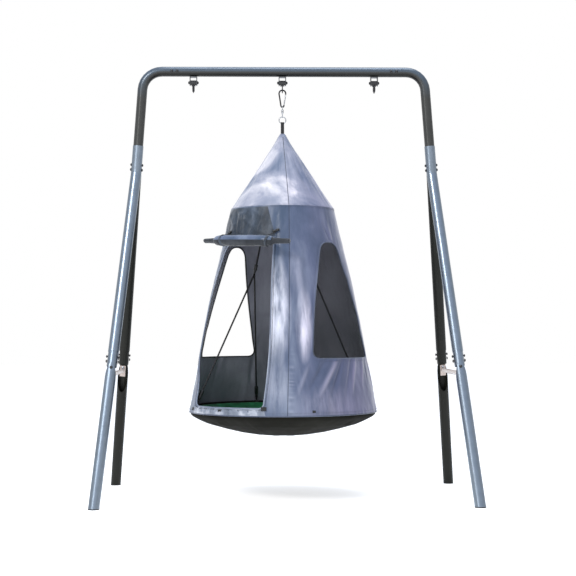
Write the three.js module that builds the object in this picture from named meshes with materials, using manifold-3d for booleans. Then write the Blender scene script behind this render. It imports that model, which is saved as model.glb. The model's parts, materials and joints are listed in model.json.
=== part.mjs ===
// Hanging tent swing on a steel tube stand. Millimetres, +Z up, +X along the beam.
// The stand stands on Z = 0. The front of the swing, with the tent's door, faces -Y.
import * as THREE from 'three';
import { mergeVertices } from 'three/addons/utils/BufferGeometryUtils.js';
import Module from 'manifold-3d';

const wasm = await Module();
wasm.setup();

// ---- driving dimensions ----
const GAP = 0.3; // between parts that touch

// stand
const BEAM_Z = 2280;
const TUBE_R = 26.5; // beam and corner tubes
const TUBE_BORE = 24.75;
const PLUG_R = 24.4; // reduced end of a corner tube inside the beam
const PLUG_BORE = 22.7;
const BEAM_END_X = 640;
const PLUG_LENGTH = 95;
const CORNER_X = 757.5; // where beam line and corner tube line cross
const CORNER_RADIUS = 105;
const SPREAD = 0.0728; // sideways run of the corner tube per mm of drop
const APEX_Z = 1728; // where the leg lines cross
const FOOT_X = 958;
const FOOT_Y = 550;
const LEG_R = 28.5;
const LEG_BORE = 26.8;
const SWAGE_R = 26.4; // reduced lower end of an upper leg
const SWAGE_BORE = 24.6;
const COLLAR_TOP_Z = 1877;
const CORNER_TUBE_END_Z = 1737;
const LEG_BEND_RADIUS = 70;
const LEG_SEAM_Z = 772;
const SWAGE_LENGTH = 78;
const PLUG_FLANGE = 5; // rubber foot below the tube's end
const PLUG_INSERT = 32;
const BRACE_Z = 668;
const BRACE_R = 12.5;
const BRACE_BORE = 10.5;
const SADDLE_SIZE = [30, 3, 62];

// fasteners
const BOLT_R = 4;
const BOLT_HEAD_R = 7.5;
const BOLT_HEAD_H = 6;
const BEAM_BOLT_X = [577, 606];
const COLLAR_BOLT_Z = 1774;
const LEG_BOLT_Z = 748;

// hangers under the beam
const HANGER_X = [-490, -10, 487];
const PIVOT_Z = 2220;
const BRACKET_WIDTH = 34;
const BRACKET_HALF = 20;
const BRACKET_THICK = 4;
const BRACKET_TOP = BEAM_Z - TUBE_R - GAP;
const EYE_Z = 2187.7;
const EYE_R = 23;
const EYE_HOLE_R = 11;
const EYE_THICK = 5;

// snap hook, swivel and ring
const HOOK_TOP_Z = 2163; // centre of the wide bow
const HOOK_TOP_R = 18;
const HOOK_LOW_Z = 2097; // centre of the narrow bow
const HOOK_LOW_R = 8;
const HOOK_ROD_R = 4;
const GATE_R = 3.4;
const SWIVEL_TOP_Z = 2087.8;
const SWIVEL_LOW_Z = 2037.1;
const RING_Z = 2017.6;
const RING_R = 18.4;
const RING_ROD_R = 2.6;

// tent
const TENT_X = HANGER_X[1];
const DOOR_ANGLE = -39.5; // degrees from the front, positive to the right
const SEAMS = [-93, 5.5, 95.5, -174.5]; // between the four wall panels, the door's first
const WINDOW_LOW = 737.5;
const WINDOW_HIGH = 1340;
const CLOTH = 2.4;
const WALL_TOP_Z = 1530;
const EAVE_R = 274.9;
const RIM_R = 499.8;
const RIM_Z = 470;
const HEM_Z = 448;
const SAUCER_RING_R = 481;
const SAUCER_RING_TUBE = 12.5;
const EAVE_HOOP_R = 267.5;
const EAVE_HOOP_ROD = 4;
const ROPE_R = 5;
const ROPE_SPLIT = { radius: 172, z: 1192 };
const TENT_SIDES = 40; // round the tent's axis, the same for every ring so that they nest
const TUBE_SIDES = 24; // around a stand tube

// ---- materials ----
const paint = (color, roughness, metalness) => () => new THREE.MeshStandardMaterial({ color, roughness, metalness });
const frameSteel = paint(0x34363a, 0.32, 0.5);
const blackCap = paint(0x121214, 0.45, 0.1);
const zinc = paint(0xb4b6b8, 0.32, 0.9);
const blackNylon = paint(0x1a1a1c, 0.5, 0.0);
const blackSteel = paint(0x1c1d20, 0.35, 0.7);
const rubber = paint(0x17181a, 0.75, 0.0);
const braceSteel = paint(0xb9a9a2, 0.35, 0.6);
const webbing = paint(0x18181a, 0.85, 0.0);
const canopyCloth = paint(0x7d8ab0, 0.42, 0.0);
const windowMesh = paint(0x3c3c3e, 0.8, 0.0);
const matCloth = paint(0x14502d, 0.75, 0.0);
const baseCloth = paint(0x2a2a22, 0.8, 0.0);
const ropeFibre = paint(0x1b1b1d, 0.8, 0.0);
const blackPlastic = paint(0x19191a, 0.4, 0.0);

// ---- solids ----
const point = (x, y, z) => new THREE.Vector3(x, y, z);

function solid(geometry) {
  const bare = geometry.clone();
  bare.deleteAttribute('normal');
  bare.deleteAttribute('uv');
  const merged = mergeVertices(bare, 1e-3);
  const index = merged.index.array;
  const kept = [];
  for (let i = 0; i < index.length; i += 3) {
    const [a, b, c] = [index[i], index[i + 1], index[i + 2]];
    if (a !== b && b !== c && a !== c) kept.push(a, b, c);
  }
  return new wasm.Manifold(new wasm.Mesh({
    numProp: 3,
    vertProperties: Float32Array.from(merged.attributes.position.array),
    triVerts: Uint32Array.from(kept),
  }));
}

function geometryOf(body) {
  const mesh = body.getMesh();
  const geometry = new THREE.BufferGeometry();
  const positions = new Float32Array((mesh.vertProperties.length / mesh.numProp) * 3);
  for (let i = 0; i < positions.length / 3; i += 1) {
    for (let k = 0; k < 3; k += 1) positions[3 * i + k] = mesh.vertProperties[mesh.numProp * i + k];
  }
  geometry.setAttribute('position', new THREE.BufferAttribute(positions, 3));
  geometry.setIndex(Array.from(mesh.triVerts));
  geometry.computeVertexNormals();
  return geometry;
}

// A polyline with its own rings: one ring at each point, square to the line there.
class Route extends THREE.Curve {
  constructor(points) {
    super();
    this.points = points;
  }

  getPoint(t, target = new THREE.Vector3()) {
    const last = this.points.length - 1;
    const i = Math.min(Math.floor(t * last + 1e-6), last - 1);
    return target.lerpVectors(this.points[i], this.points[i + 1], t * last - i);
  }

  getPointAt(t, target) {
    return this.getPoint(t, target);
  }

  getTangentAt(t, target = new THREE.Vector3()) {
    const last = this.points.length - 1;
    const i = Math.round(t * last);
    const before = this.points[Math.max(i - 1, 0)];
    const here = this.points[i];
    const after = this.points[Math.min(i + 1, last)];
    const into = here.clone().sub(before).normalize();
    const out = after.clone().sub(here).normalize();
    return target.copy(into.add(out)).normalize();
  }
}

// Corner points joined by straight runs, with an arc of the given radius at each inner corner.
function filleted(corners, radius, steps) {
  const points = [corners[0]];
  for (let i = 1; i < corners.length - 1; i += 1) {
    const back = corners[i - 1].clone().sub(corners[i]).normalize();
    const on = corners[i + 1].clone().sub(corners[i]).normalize();
    const half = back.angleTo(on) / 2;
    const middle = back.clone().add(on).normalize();
    const centre = corners[i].clone().addScaledVector(middle, radius / Math.sin(half));
    const from = corners[i].clone().addScaledVector(back, radius / Math.tan(half)).sub(centre);
    const to = corners[i].clone().addScaledVector(on, radius / Math.tan(half)).sub(centre);
    const axis = from.clone().cross(to).normalize();
    const turn = from.angleTo(to);
    for (let k = 0; k <= steps; k += 1) {
      points.push(from.clone().applyAxisAngle(axis, (turn * k) / steps).add(centre));
    }
  }
  points.push(corners[corners.length - 1]);
  return points;
}

// A bore is drawn around its circle and a rod inside it, so a rod with the same number of sides fits.
const boreRadius = (radius, sides) => radius / Math.cos(Math.PI / sides);

function disc(radius, bore) {
  const shape = new THREE.Shape();
  shape.absarc(0, 0, radius, 0, 2 * Math.PI, false);
  if (bore) {
    const hole = new THREE.Path();
    hole.absarc(0, 0, bore, 0, 2 * Math.PI, true);
    shape.holes.push(hole);
  }
  return shape;
}

function rodAlong(points, radius, sides, bore = 0) {
  return new THREE.ExtrudeGeometry(disc(radius, bore && boreRadius(bore, sides)), {
    steps: points.length - 1,
    curveSegments: sides / 2,
    bevelEnabled: false,
    extrudePath: new Route(points),
  });
}

function cylinder(from, to, radius, sides = 24) {
  return solid(rodAlong([from, to], radius, sides));
}

function boreAlong(points, radius, sides = TUBE_SIDES) {
  return solid(rodAlong(points, boreRadius(radius, sides), sides));
}

function block(size, centre) {
  return solid(new THREE.BoxGeometry(size[0], size[1], size[2]).translate(centre.x, centre.y, centre.z));
}

// A profile of [radius, z] points turned about Z. It starts and ends on the axis, or is closed here.
function turned(profile, sides) {
  let points = profile.map(([r, z]) => new THREE.Vector2(r, z));
  if (THREE.ShapeUtils.area(points) < 0) points = points.reverse();
  const onAxis = points.some((p) => p.x === 0);
  if (onAxis) {
    while (points[0].x !== 0 || points[points.length - 1].x !== 0) points.push(points.shift());
  } else {
    points.push(points[0].clone());
  }
  return new THREE.LatheGeometry(points, sides).rotateX(Math.PI / 2);
}

function ringOf(radius, rod, sides, rodSides) {
  return new THREE.TorusGeometry(radius, rod, rodSides, sides);
}

// ---- scene ----
const swing = new THREE.Group();
const stand = new THREE.Group();
const tent = new THREE.Group();
tent.position.x = TENT_X;
swing.add(stand, tent);

function add(parent, name, geometry, material) {
  const mesh = new THREE.Mesh(geometry, material());
  mesh.name = name;
  parent.add(mesh);
  return mesh;
}

// A bolt or pin on its own Z axis, with a domed cap at both ends.
function boltGeometry(grip, shaftR, headR, headH) {
  const half = [[0, grip + headH], [headR * 0.55, grip + headH], [headR, grip + headH * 0.45],
    [headR, grip], [shaftR, grip]];
  const mirrored = half.map(([r, z]) => [r, -z]).reverse();
  return turned([...half, ...mirrored], 10);
}

function addBolt(parent, name, at, axis, geometry, material) {
  const bolt = add(parent, name, geometry, material);
  bolt.position.copy(at);
  bolt.quaternion.setFromUnitVectors(point(0, 0, 1), axis.clone().normalize());
  return bolt;
}

function drilled(body, at, axis, radius) {
  const run = axis.clone().normalize().multiplyScalar(60);
  return body.subtract(boreAlong([at.clone().sub(run), at.clone().add(run)], radius, 10));
}

// ---- stand ----
const acrossBeam = point(0, 1, 0);
const bolt = boltGeometry(TUBE_R + GAP, BOLT_R, BOLT_HEAD_R, BOLT_HEAD_H);
const legBolt = boltGeometry(LEG_R + GAP, BOLT_R, BOLT_HEAD_R, BOLT_HEAD_H);

let beam = solid(rodAlong([point(-BEAM_END_X + GAP, 0, BEAM_Z), point(BEAM_END_X - GAP, 0, BEAM_Z)],
  TUBE_R, TUBE_SIDES, TUBE_BORE));
for (const side of [-1, 1]) {
  for (const x of BEAM_BOLT_X) beam = drilled(beam, point(side * x, 0, BEAM_Z), acrossBeam, BOLT_R + GAP);
}
add(stand, 'top_beam', geometryOf(beam), frameSteel);

const cornerX = (z) => CORNER_X + SPREAD * (BEAM_Z - z);
const apexX = cornerX(APEX_Z);

for (const side of [-1, 1]) {
  const hand = side < 0 ? 'left' : 'right';
  const corner = (z) => point(side * cornerX(z), 0, z);
  const collarAxis = point(side * SPREAD, 0, -1).normalize();
  const acrossCollar = point(1, 0, side * SPREAD).normalize();
  const apex = corner(APEX_Z);

  // corner tube: plug inside the beam, bend, and drop into the collar
  const bend = filleted([point(side * BEAM_END_X, 0, BEAM_Z), corner(BEAM_Z), corner(CORNER_TUBE_END_Z)],
    CORNER_RADIUS, 7);
  const plugLine = (from, to) => [point(side * (BEAM_END_X - from), 0, BEAM_Z),
    point(side * (BEAM_END_X + to), 0, BEAM_Z)];
  const inner = filleted([point(side * (BEAM_END_X + 8), 0, BEAM_Z), corner(BEAM_Z),
    corner(CORNER_TUBE_END_Z - 5)], CORNER_RADIUS, 7);
  let tube = solid(rodAlong(bend, TUBE_R, TUBE_SIDES))
    .add(solid(rodAlong(plugLine(PLUG_LENGTH, 4), PLUG_R, TUBE_SIDES)))
    .subtract(boreAlong(inner, TUBE_BORE))
    .subtract(boreAlong(plugLine(PLUG_LENGTH + 5, 12), PLUG_BORE));
  for (const x of BEAM_BOLT_X) tube = drilled(tube, point(side * x, 0, BEAM_Z), acrossBeam, BOLT_R + GAP);
  tube = drilled(tube, corner(COLLAR_BOLT_Z), acrossCollar, BOLT_R + GAP);
  add(stand, `${hand}_corner_tube`, geometryOf(tube), frameSteel);

  BEAM_BOLT_X.forEach((x, i) => {
    addBolt(stand, `${hand}_beam_bolt_${i + 1}`, point(side * x, 0, BEAM_Z), acrossBeam, bolt, blackCap);
  });
  addBolt(stand, `${hand}_collar_bolt`, corner(COLLAR_BOLT_Z), acrossCollar, legBolt, blackCap);

  const collarTop = corner(COLLAR_TOP_Z);
  const frontFoot = point(side * FOOT_X, -FOOT_Y, 0);
  const frontLine = filleted([collarTop, apex, frontFoot], LEG_BEND_RADIUS, 3);
  const frontSpace = boreAlong(frontLine, LEG_R + GAP);

  for (const front of [true, false]) {
    const end = front ? 'front' : 'rear';
    const foot = point(side * FOOT_X, front ? -FOOT_Y : FOOT_Y, 0);
    const along = foot.clone().sub(apex).normalize();
    const atZ = (z) => apex.clone().addScaledVector(along, (z - APEX_Z) / along.z);
    const acrossLeg = point(1, 0, 0).addScaledVector(along, -along.x).normalize();
    const inward = point(0, 1, 0).addScaledVector(along, -along.y).normalize()
      .multiplyScalar(front ? 1 : -1);
    const seam = atZ(LEG_SEAM_Z);
    const plug = atZ(LEG_SEAM_Z).addScaledVector(along, SWAGE_LENGTH);

    // upper leg: the front one carries the collar, the rear one is coped and welded to its back
    const line = front ? filleted([collarTop, apex, seam], LEG_BEND_RADIUS, 3) : [apex, seam];
    const bore = front
      ? filleted([collarTop.clone().addScaledVector(collarAxis, -5), apex, atZ(LEG_SEAM_Z + 8)],
        LEG_BEND_RADIUS, 3)
      : [apex.clone().addScaledVector(along, -5), atZ(LEG_SEAM_Z + 8)];
    let upper = solid(rodAlong(line, LEG_R, TUBE_SIDES))
      .add(cylinder(atZ(LEG_SEAM_Z + 8), plug, SWAGE_R, TUBE_SIDES))
      .subtract(boreAlong(bore, LEG_BORE))
      .subtract(boreAlong([atZ(LEG_SEAM_Z + 20), plug.clone().addScaledVector(along, 5)], SWAGE_BORE));
    const legBoltAt = atZ(LEG_BOLT_Z);
    upper = drilled(upper, legBoltAt, acrossLeg, BOLT_R + GAP);
    if (front) {
      upper = drilled(upper, corner(COLLAR_BOLT_Z), acrossCollar, BOLT_R + GAP);
    } else {
      upper = upper.subtract(frontSpace);
    }
    add(stand, `${hand}_${end}_upper_leg`, geometryOf(upper), frameSteel);

    const past = foot.clone().addScaledVector(along, 40);
    const above = (z) => block([400, 400, 2000], point(foot.x, foot.y, z + 1000));
    const lowerTop = seam.clone().addScaledVector(along, GAP);
    const lower = drilled(solid(rodAlong([lowerTop, past], LEG_R, TUBE_SIDES, SWAGE_R + GAP)),
      legBoltAt, acrossLeg, BOLT_R + GAP).intersect(above(PLUG_FLANGE + GAP));
    add(stand, `${hand}_${end}_lower_leg`, geometryOf(lower), frameSteel);
    addBolt(stand, `${hand}_${end}_leg_bolt`, legBoltAt, acrossLeg, legBolt, blackCap);

    // rubber foot: a plug in the tube's end, cut level with the tube for the ground
    const flange = cylinder(atZ(60), past, LEG_R, TUBE_SIDES).intersect(above(0)).subtract(above(PLUG_FLANGE));
    const insert = cylinder(atZ(PLUG_INSERT), past, SWAGE_R, TUBE_SIDES).intersect(above(1));
    add(stand, `${hand}_${end}_foot_cap`, geometryOf(flange.add(insert)), rubber);

    if (!front) {
      // brace between the two legs of this side, with a saddle plate at each end
      const plateAt = atZ(BRACE_Z).addScaledVector(inward, LEG_R + GAP + SADDLE_SIZE[1] / 2);
      let plates = null;
      let legs = null;
      for (const mirror of [1, -1]) {
        const flip = (v) => point(v.x, mirror * v.y, v.z);
        const down = flip(along);
        const facing = flip(inward);
        const wide = down.clone().cross(facing).normalize();
        const at = flip(plateAt);
        const plate = solid(new THREE.BoxGeometry(...SADDLE_SIZE)
          .applyMatrix4(new THREE.Matrix4().makeBasis(wide, facing, wide.clone().cross(facing)))
          .translate(at.x, at.y, at.z));
        const leg = boreAlong([flip(atZ(BRACE_Z + 80)), flip(atZ(BRACE_Z - 80))], LEG_R + GAP);
        plates = plates ? plates.add(plate) : plate;
        legs = legs ? legs.add(leg) : leg;
      }
      const rearEnd = point(plateAt.x, plateAt.y + 5, plateAt.z);
      const frontEnd = point(plateAt.x, -plateAt.y - 5, plateAt.z);
      const brace = cylinder(rearEnd, frontEnd, BRACE_R, 14)
        .add(plates)
        .subtract(boreAlong([rearEnd, frontEnd], BRACE_BORE, 14))
        .subtract(legs);
      add(stand, `${hand}_leg_brace`, geometryOf(brace), braceSteel);
    }
  }
}

// ---- hangers ----
const bracketShape = new THREE.Shape();
bracketShape.moveTo(-BRACKET_HALF, PIVOT_Z - BRACKET_WIDTH / 2);
bracketShape.lineTo(-BRACKET_HALF + BRACKET_THICK, PIVOT_Z - BRACKET_WIDTH / 2);
bracketShape.lineTo(-BRACKET_HALF + BRACKET_THICK, BRACKET_TOP - BRACKET_THICK);
bracketShape.lineTo(BRACKET_HALF - BRACKET_THICK, BRACKET_TOP - BRACKET_THICK);
bracketShape.lineTo(BRACKET_HALF - BRACKET_THICK, PIVOT_Z - BRACKET_WIDTH / 2);
bracketShape.lineTo(BRACKET_HALF, PIVOT_Z - BRACKET_WIDTH / 2);
bracketShape.lineTo(BRACKET_HALF, BRACKET_TOP);
bracketShape.lineTo(-BRACKET_HALF, BRACKET_TOP);
bracketShape.closePath();

const alongBeam = point(1, 0, 0);
const pivot = point(0, 0, PIVOT_Z);
const bracketRound = cylinder(point(-50, 0, PIVOT_Z), point(50, 0, PIVOT_Z), BRACKET_WIDTH / 2, 24)
  .add(block([100, BRACKET_WIDTH, 60], point(0, 0, PIVOT_Z + 30)));
const bracket = geometryOf(drilled(
  solid(new THREE.ExtrudeGeometry(bracketShape, { depth: BRACKET_WIDTH, bevelEnabled: false })
    .rotateX(Math.PI / 2)
    .translate(0, BRACKET_WIDTH / 2, 0)).intersect(bracketRound),
  pivot, alongBeam, 5 + GAP));

const pivotBolt = boltGeometry(BRACKET_HALF + GAP, 5, 8.5, 8);

const barrelHalf = BRACKET_HALF - BRACKET_THICK - GAP - 0.1;
const bushing = geometryOf(drilled(
  cylinder(point(-barrelHalf, 0, PIVOT_Z), point(barrelHalf, 0, PIVOT_Z), 13, 18)
    .add(block([22, 25, 17], point(0, 0, PIVOT_Z - 8.5)))
    .subtract(block([EYE_THICK + 2 * GAP, 60, 22], point(0, 0, PIVOT_Z - 7.5 - 11))),
  pivot, alongBeam, 5 + GAP));

const eyeNeck = PIVOT_Z - 7.5 - GAP;
const eye = geometryOf(
  cylinder(point(-EYE_THICK / 2, 0, EYE_Z), point(EYE_THICK / 2, 0, EYE_Z), EYE_R, 28)
    .add(block([EYE_THICK, 26, 14], point(0, 0, eyeNeck - 7)))
    .subtract(cylinder(point(-30, 0, EYE_Z), point(30, 0, EYE_Z), EYE_HOLE_R, 20)));

['left', 'centre', 'right'].forEach((hand, i) => {
  const hanger = new THREE.Group();
  hanger.position.x = HANGER_X[i];
  stand.add(hanger);
  add(hanger, `${hand}_hanger_bracket`, bracket, zinc);
  addBolt(hanger, `${hand}_pivot_bolt`, pivot, alongBeam, pivotBolt, blackCap);
  add(hanger, `${hand}_hanger_bushing`, bushing, blackNylon);
  add(hanger, `${hand}_hanger_eye`, eye, zinc);
});

// ---- snap hook: an open pear-shaped bow and a sprung gate that closes its right side ----
const lean = Math.asin((HOOK_TOP_R - HOOK_LOW_R) / (HOOK_TOP_Z - HOOK_LOW_Z));
const lowTangent = point(HOOK_LOW_R * Math.cos(lean), 0, HOOK_LOW_Z - HOOK_LOW_R * Math.sin(lean));
const topTangent = point(HOOK_TOP_R * Math.cos(lean), 0, HOOK_TOP_Z - HOOK_TOP_R * Math.sin(lean));
const gateLine = topTangent.clone().sub(lowTangent);
const gateDirection = gateLine.clone().normalize();
const arcPoints = (radius, z, from, to, steps) => Array.from({ length: steps + 1 }, (_, k) => {
  const a = from + ((to - from) * k) / steps;
  return point(radius * Math.cos(a), 0, z + radius * Math.sin(a));
});
const hookRoute = [
  lowTangent.clone().addScaledVector(gateDirection, 5),
  ...arcPoints(HOOK_LOW_R, HOOK_LOW_Z, -lean, -Math.PI + lean, 9),
  ...arcPoints(HOOK_TOP_R, HOOK_TOP_Z, Math.PI + lean, -lean, 14),
  topTangent.clone().addScaledVector(gateDirection, -3),
];
add(tent, 'snap_hook', rodAlong(hookRoute, HOOK_ROD_R, 10), blackSteel);

const gateLow = lowTangent.clone().addScaledVector(gateDirection, 5 + 0.4 + GATE_R);
const gateTop = topTangent.clone().addScaledVector(gateDirection, -3 - 0.4 - GATE_R);
const gateLength = gateTop.distanceTo(gateLow);
const gate = add(tent, 'snap_hook_gate', new THREE.CapsuleGeometry(GATE_R, gateLength, 3, 10), zinc);
gate.position.copy(gateLow).add(gateTop).multiplyScalar(0.5);
gate.quaternion.setFromUnitVectors(point(0, 1, 0), gateDirection);

// ---- swivel: a headed pin turns inside a barrel; an eye at each end ----
const upperEye = ringOf(7.2, 1.7, 18, 8).rotateY(Math.PI / 2).translate(0, 0, SWIVEL_TOP_Z);
const pinProfile = [[0, 2060], [4.5, 2060], [4.5, 2065.6], [3, 2065.6], [3, 2079.6], [0, 2079.6]];
add(tent, 'swivel_pin', geometryOf(solid(upperEye).add(solid(turned(pinProfile, 12)))), zinc);

const lowerEye = ringOf(5.7, 1.7, 18, 8).rotateY(Math.PI / 2).translate(0, 0, SWIVEL_LOW_Z);
const barrelProfile = [[0, 2043.6], [2.6, 2043.6], [3.2, 2053], [6.5, 2056.5], [6.5, 2072], [5.5, 2074],
  [3.4, 2074], [3.4, 2066], [4.9, 2066], [4.9, 2059], [0, 2059]];
add(tent, 'swivel_barrel', geometryOf(solid(lowerEye).add(solid(turned(barrelProfile, 12)))), zinc);

add(tent, 'top_ring', ringOf(RING_R, RING_ROD_R, 24, 8).rotateX(Math.PI / 2).translate(0, 0, RING_Z), zinc);

// ---- tent ----
const degrees = THREE.MathUtils.degToRad;
const outwardAt = (angle) => point(Math.sin(degrees(angle)), -Math.cos(degrees(angle)), 0);
const acrossAt = (angle) => point(Math.cos(degrees(angle)), Math.sin(degrees(angle)), 0);
const up = point(0, 0, 1);

// strap over the ring: runs down through the roof's opening to the two ropes
const strapEndZ = 1880;
const strapTop = RING_Z - RING_R + 2; // the ring curves up into the flat strap's edges
const strapBend = RING_ROD_R + GAP + 1.3;
const strapRoute = [point(0, -10, strapEndZ), point(0, -strapBend, strapTop),
  ...Array.from({ length: 7 }, (_, k) => {
    const a = Math.PI - (Math.PI * (k + 1)) / 8;
    return point(0, strapBend * Math.cos(a), strapTop + strapBend * Math.sin(a));
  }),
  point(0, strapBend, strapTop), point(0, 10, strapEndZ)];
const strapSection = new THREE.Shape([[-8, -1.2], [8, -1.2], [8, 1.2], [-8, 1.2]]
  .map(([x, y]) => new THREE.Vector2(x, y)));
add(tent, 'top_strap', new THREE.ExtrudeGeometry(strapSection, {
  steps: strapRoute.length - 1, bevelEnabled: false, extrudePath: new Route(strapRoute),
}), webbing);

const roofProfile = [[19.5, 1934], [65.5, 1853], [137, 1746], [277.7, 1535], [279, 1524], [276.5, 1524],
  [275.3, 1532.6], [134.9, 1744.7], [63.4, 1851.8], [17.2, 1933]];
add(tent, 'roof_canopy', turned(roofProfile, TENT_SIDES), canopyCloth);

const wallProfile = [[EAVE_R, WALL_TOP_Z], [RIM_R, RIM_Z], [RIM_R + 0.2, HEM_Z],
  [RIM_R + 0.2 - CLOTH, HEM_Z], [RIM_R - CLOTH, RIM_Z], [EAVE_R - CLOTH, WALL_TOP_Z]];
const wallRing = solid(turned(wallProfile, TENT_SIDES));

// The part of the wall between two seams, kept clear of its neighbours.
function panel(from, to) {
  const middle = (from + to) / 2;
  const start = outwardAt(middle).multiplyScalar(GAP);
  const corners = [start];
  for (const angle of [from, middle, to]) corners.push(outwardAt(angle).multiplyScalar(900).add(start));
  const shape = new THREE.Shape(corners.map((p) => new THREE.Vector2(p.x, p.y)));
  return solid(new THREE.ExtrudeGeometry(shape, { depth: 1400, bevelEnabled: false })
    .translate(0, 0, 300));
}

// An opening cut straight through the wall about a direction: corners as [across, height, rounding].
function opening(angle, corners) {
  const shape = new THREE.Shape();
  corners.forEach(([x, z, round], i) => {
    const corner = new THREE.Vector2(x, z);
    const toward = ([nextX, nextZ]) => new THREE.Vector2(nextX, nextZ).sub(corner).setLength(round).add(corner);
    const before = toward(corners.at(i - 1));
    const after = toward(corners[(i + 1) % corners.length]);
    if (i === 0) shape.moveTo(before.x, before.y);
    else shape.lineTo(before.x, before.y);
    shape.quadraticCurveTo(corner.x, corner.y, after.x, after.y);
  });
  shape.closePath();
  const basis = new THREE.Matrix4().makeBasis(acrossAt(angle), up, outwardAt(angle));
  return solid(new THREE.ExtrudeGeometry(shape, { depth: 600, bevelEnabled: false, curveSegments: 4 })
    .translate(0, 0, 120)
    .applyMatrix4(basis));
}

// the doorway's left side is drawn back round the tent at the middle of its height
const DOORWAY = [[-240, 489, 45], [221, 489, 24], [217, 800, 150], [160, 1345, 32], [-118, 1335, 45],
  [-362, 865, 190], [-246, 600, 60]];
const windowCorners = (grow) => [[-233.3 - grow, WINDOW_LOW - grow, 52], [233.3 + grow, WINDOW_LOW - grow, 52],
  [61.9 + grow, WINDOW_HIGH + grow, 52], [-61.9 - grow, WINDOW_HIGH + grow, 52]];
const frontWindow = DOOR_ANGLE + 90;
const rearWindow = DOOR_ANGLE - 90;

add(tent, 'door_wall',
  geometryOf(wallRing.intersect(panel(SEAMS[0], SEAMS[1])).subtract(opening(DOOR_ANGLE, DOORWAY))), canopyCloth);
add(tent, 'front_window_wall', geometryOf(
  wallRing.intersect(panel(SEAMS[1], SEAMS[2])).subtract(opening(frontWindow, windowCorners(0)))), canopyCloth);
add(tent, 'rear_window_wall', geometryOf(
  wallRing.intersect(panel(SEAMS[3], SEAMS[0])).subtract(opening(rearWindow, windowCorners(0)))), canopyCloth);
add(tent, 'back_wall', geometryOf(wallRing.intersect(panel(SEAMS[2], SEAMS[3] + 360))), canopyCloth);

// insect mesh: a thin sheet just inside the front window
const meshOut = EAVE_R - CLOTH - 0.5;
const rimOut = RIM_R - CLOTH - 0.5;
const meshRing = solid(turned([[meshOut, WALL_TOP_Z], [rimOut, RIM_Z], [rimOut - 0.9, RIM_Z],
  [meshOut - 0.9, WALL_TOP_Z]], TENT_SIDES));
add(tent, 'window_mesh',
  geometryOf(meshRing.intersect(opening(frontWindow, windowCorners(12)))), windowMesh);

add(tent, 'eave_hoop', ringOf(EAVE_HOOP_R, EAVE_HOOP_ROD, TENT_SIDES, 6).translate(0, 0, WALL_TOP_Z - 1), zinc);
add(tent, 'saucer_ring', ringOf(SAUCER_RING_R, SAUCER_RING_TUBE, TENT_SIDES, 8).translate(0, 0, RIM_Z), frameSteel);

// sagging base: fabric that hangs from the ring and wraps over it
const over = (radius, from, to, steps) => Array.from({ length: steps + 1 }, (_, k) => {
  const a = degrees(from + ((to - from) * k) / steps);
  return [SAUCER_RING_R + radius * Math.cos(a), RIM_Z + radius * Math.sin(a)];
});
const under = [[0, 322], [134, 329], [231, 345], [320, 366], [407, 391], [452, 411], [488, 432],
  [496.4, 447]];
const inside = [[494.1, 448], [486.3, 434.4], [451, 413.4], [406, 393.4], [319.4, 368.4], [230.5, 347.4],
  [133.8, 331.4], [0, 324.4]];
const baseProfile = [...under, ...over(15.6, 0, 180, 4), ...over(13.2, 180, 0, 4), ...inside];
add(tent, 'saucer_base', turned(baseProfile, TENT_SIDES), baseCloth);

const matProfile = [[0, 325.4], [133.6, 332.4], [230.2, 348.4], [319, 369.4], [402, 393], [436, 410],
  [461, 426], [464.6, 452], [462, 474], [453, 481], [440, 462], [400, 428], [320, 398], [231, 377],
  [134, 361], [0, 353]];
add(tent, 'saucer_mat', turned(matProfile, TENT_SIDES), matCloth);

// each rope hangs from the strap, passes an adjuster and splits into two legs to the saucer ring
for (const side of [-1, 1]) {
  const hand = side < 0 ? 'left' : 'right';
  const heading = side < 0 ? -118 : 62;
  const top = point(side * 6, side * -10, strapEndZ - GAP - 0.6);
  const split = outwardAt(heading).multiplyScalar(ROPE_SPLIT.radius).setZ(ROPE_SPLIT.z);
  const legs = [-45, 45].map((step) => outwardAt(heading + step).multiplyScalar(SAUCER_RING_R).setZ(491));
  const rope = cylinder(top, split, ROPE_R, 12)
    .add(cylinder(split, legs[0], ROPE_R, 12))
    .add(cylinder(split, legs[1], ROPE_R, 12))
    .add(solid(new THREE.SphereGeometry(ROPE_R + 0.6, 12, 8).translate(split.x, split.y, split.z)));
  add(tent, `${hand}_rope`, geometryOf(rope), ropeFibre);

  const down = split.clone().sub(top).normalize();
  const sleeve = turned([[ROPE_R + GAP, -15], [9, -15], [10, -8], [10, 8], [9, 15], [ROPE_R + GAP, 15]], 16);
  const adjuster = add(tent, `${hand}_rope_adjuster`, sleeve, blackPlastic);
  adjuster.position.copy(split).addScaledVector(down, -32);
  adjuster.quaternion.setFromUnitVectors(up, down);
}

// rolled-up door: a soft spindle across the top of the doorway, bent with the wall
const ROLL_LENGTH = 575;
const ROLL_BEND = 1200;
const ROLL_LEAN = 2.6; // degrees, its right end hangs lower
const rollHalf = [[30, 0], [30, 0.35], [29, 0.55], [25, 0.64], [15, 0.7], [13.5, 0.85], [13, 1], [0, 1]]
  .map(([r, s]) => [r, (s * ROLL_LENGTH) / 2]);
const rollProfile = [...rollHalf.slice(1).reverse().map(([r, s]) => [r, -s]), ...rollHalf];
const roll = turned(rollProfile, 16);
const rollPoints = roll.attributes.position;
for (let i = 0; i < rollPoints.count; i += 1) {
  const turn = rollPoints.getZ(i) / ROLL_BEND;
  const reach = ROLL_BEND + rollPoints.getX(i);
  rollPoints.setXYZ(i, reach * Math.cos(turn) - ROLL_BEND, rollPoints.getY(i), reach * Math.sin(turn));
}
roll.computeVertexNormals();
const rollOut = outwardAt(DOOR_ANGLE);
const rollAcross = acrossAt(DOOR_ANGLE);
const rollLean = degrees(ROLL_LEAN);
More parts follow.
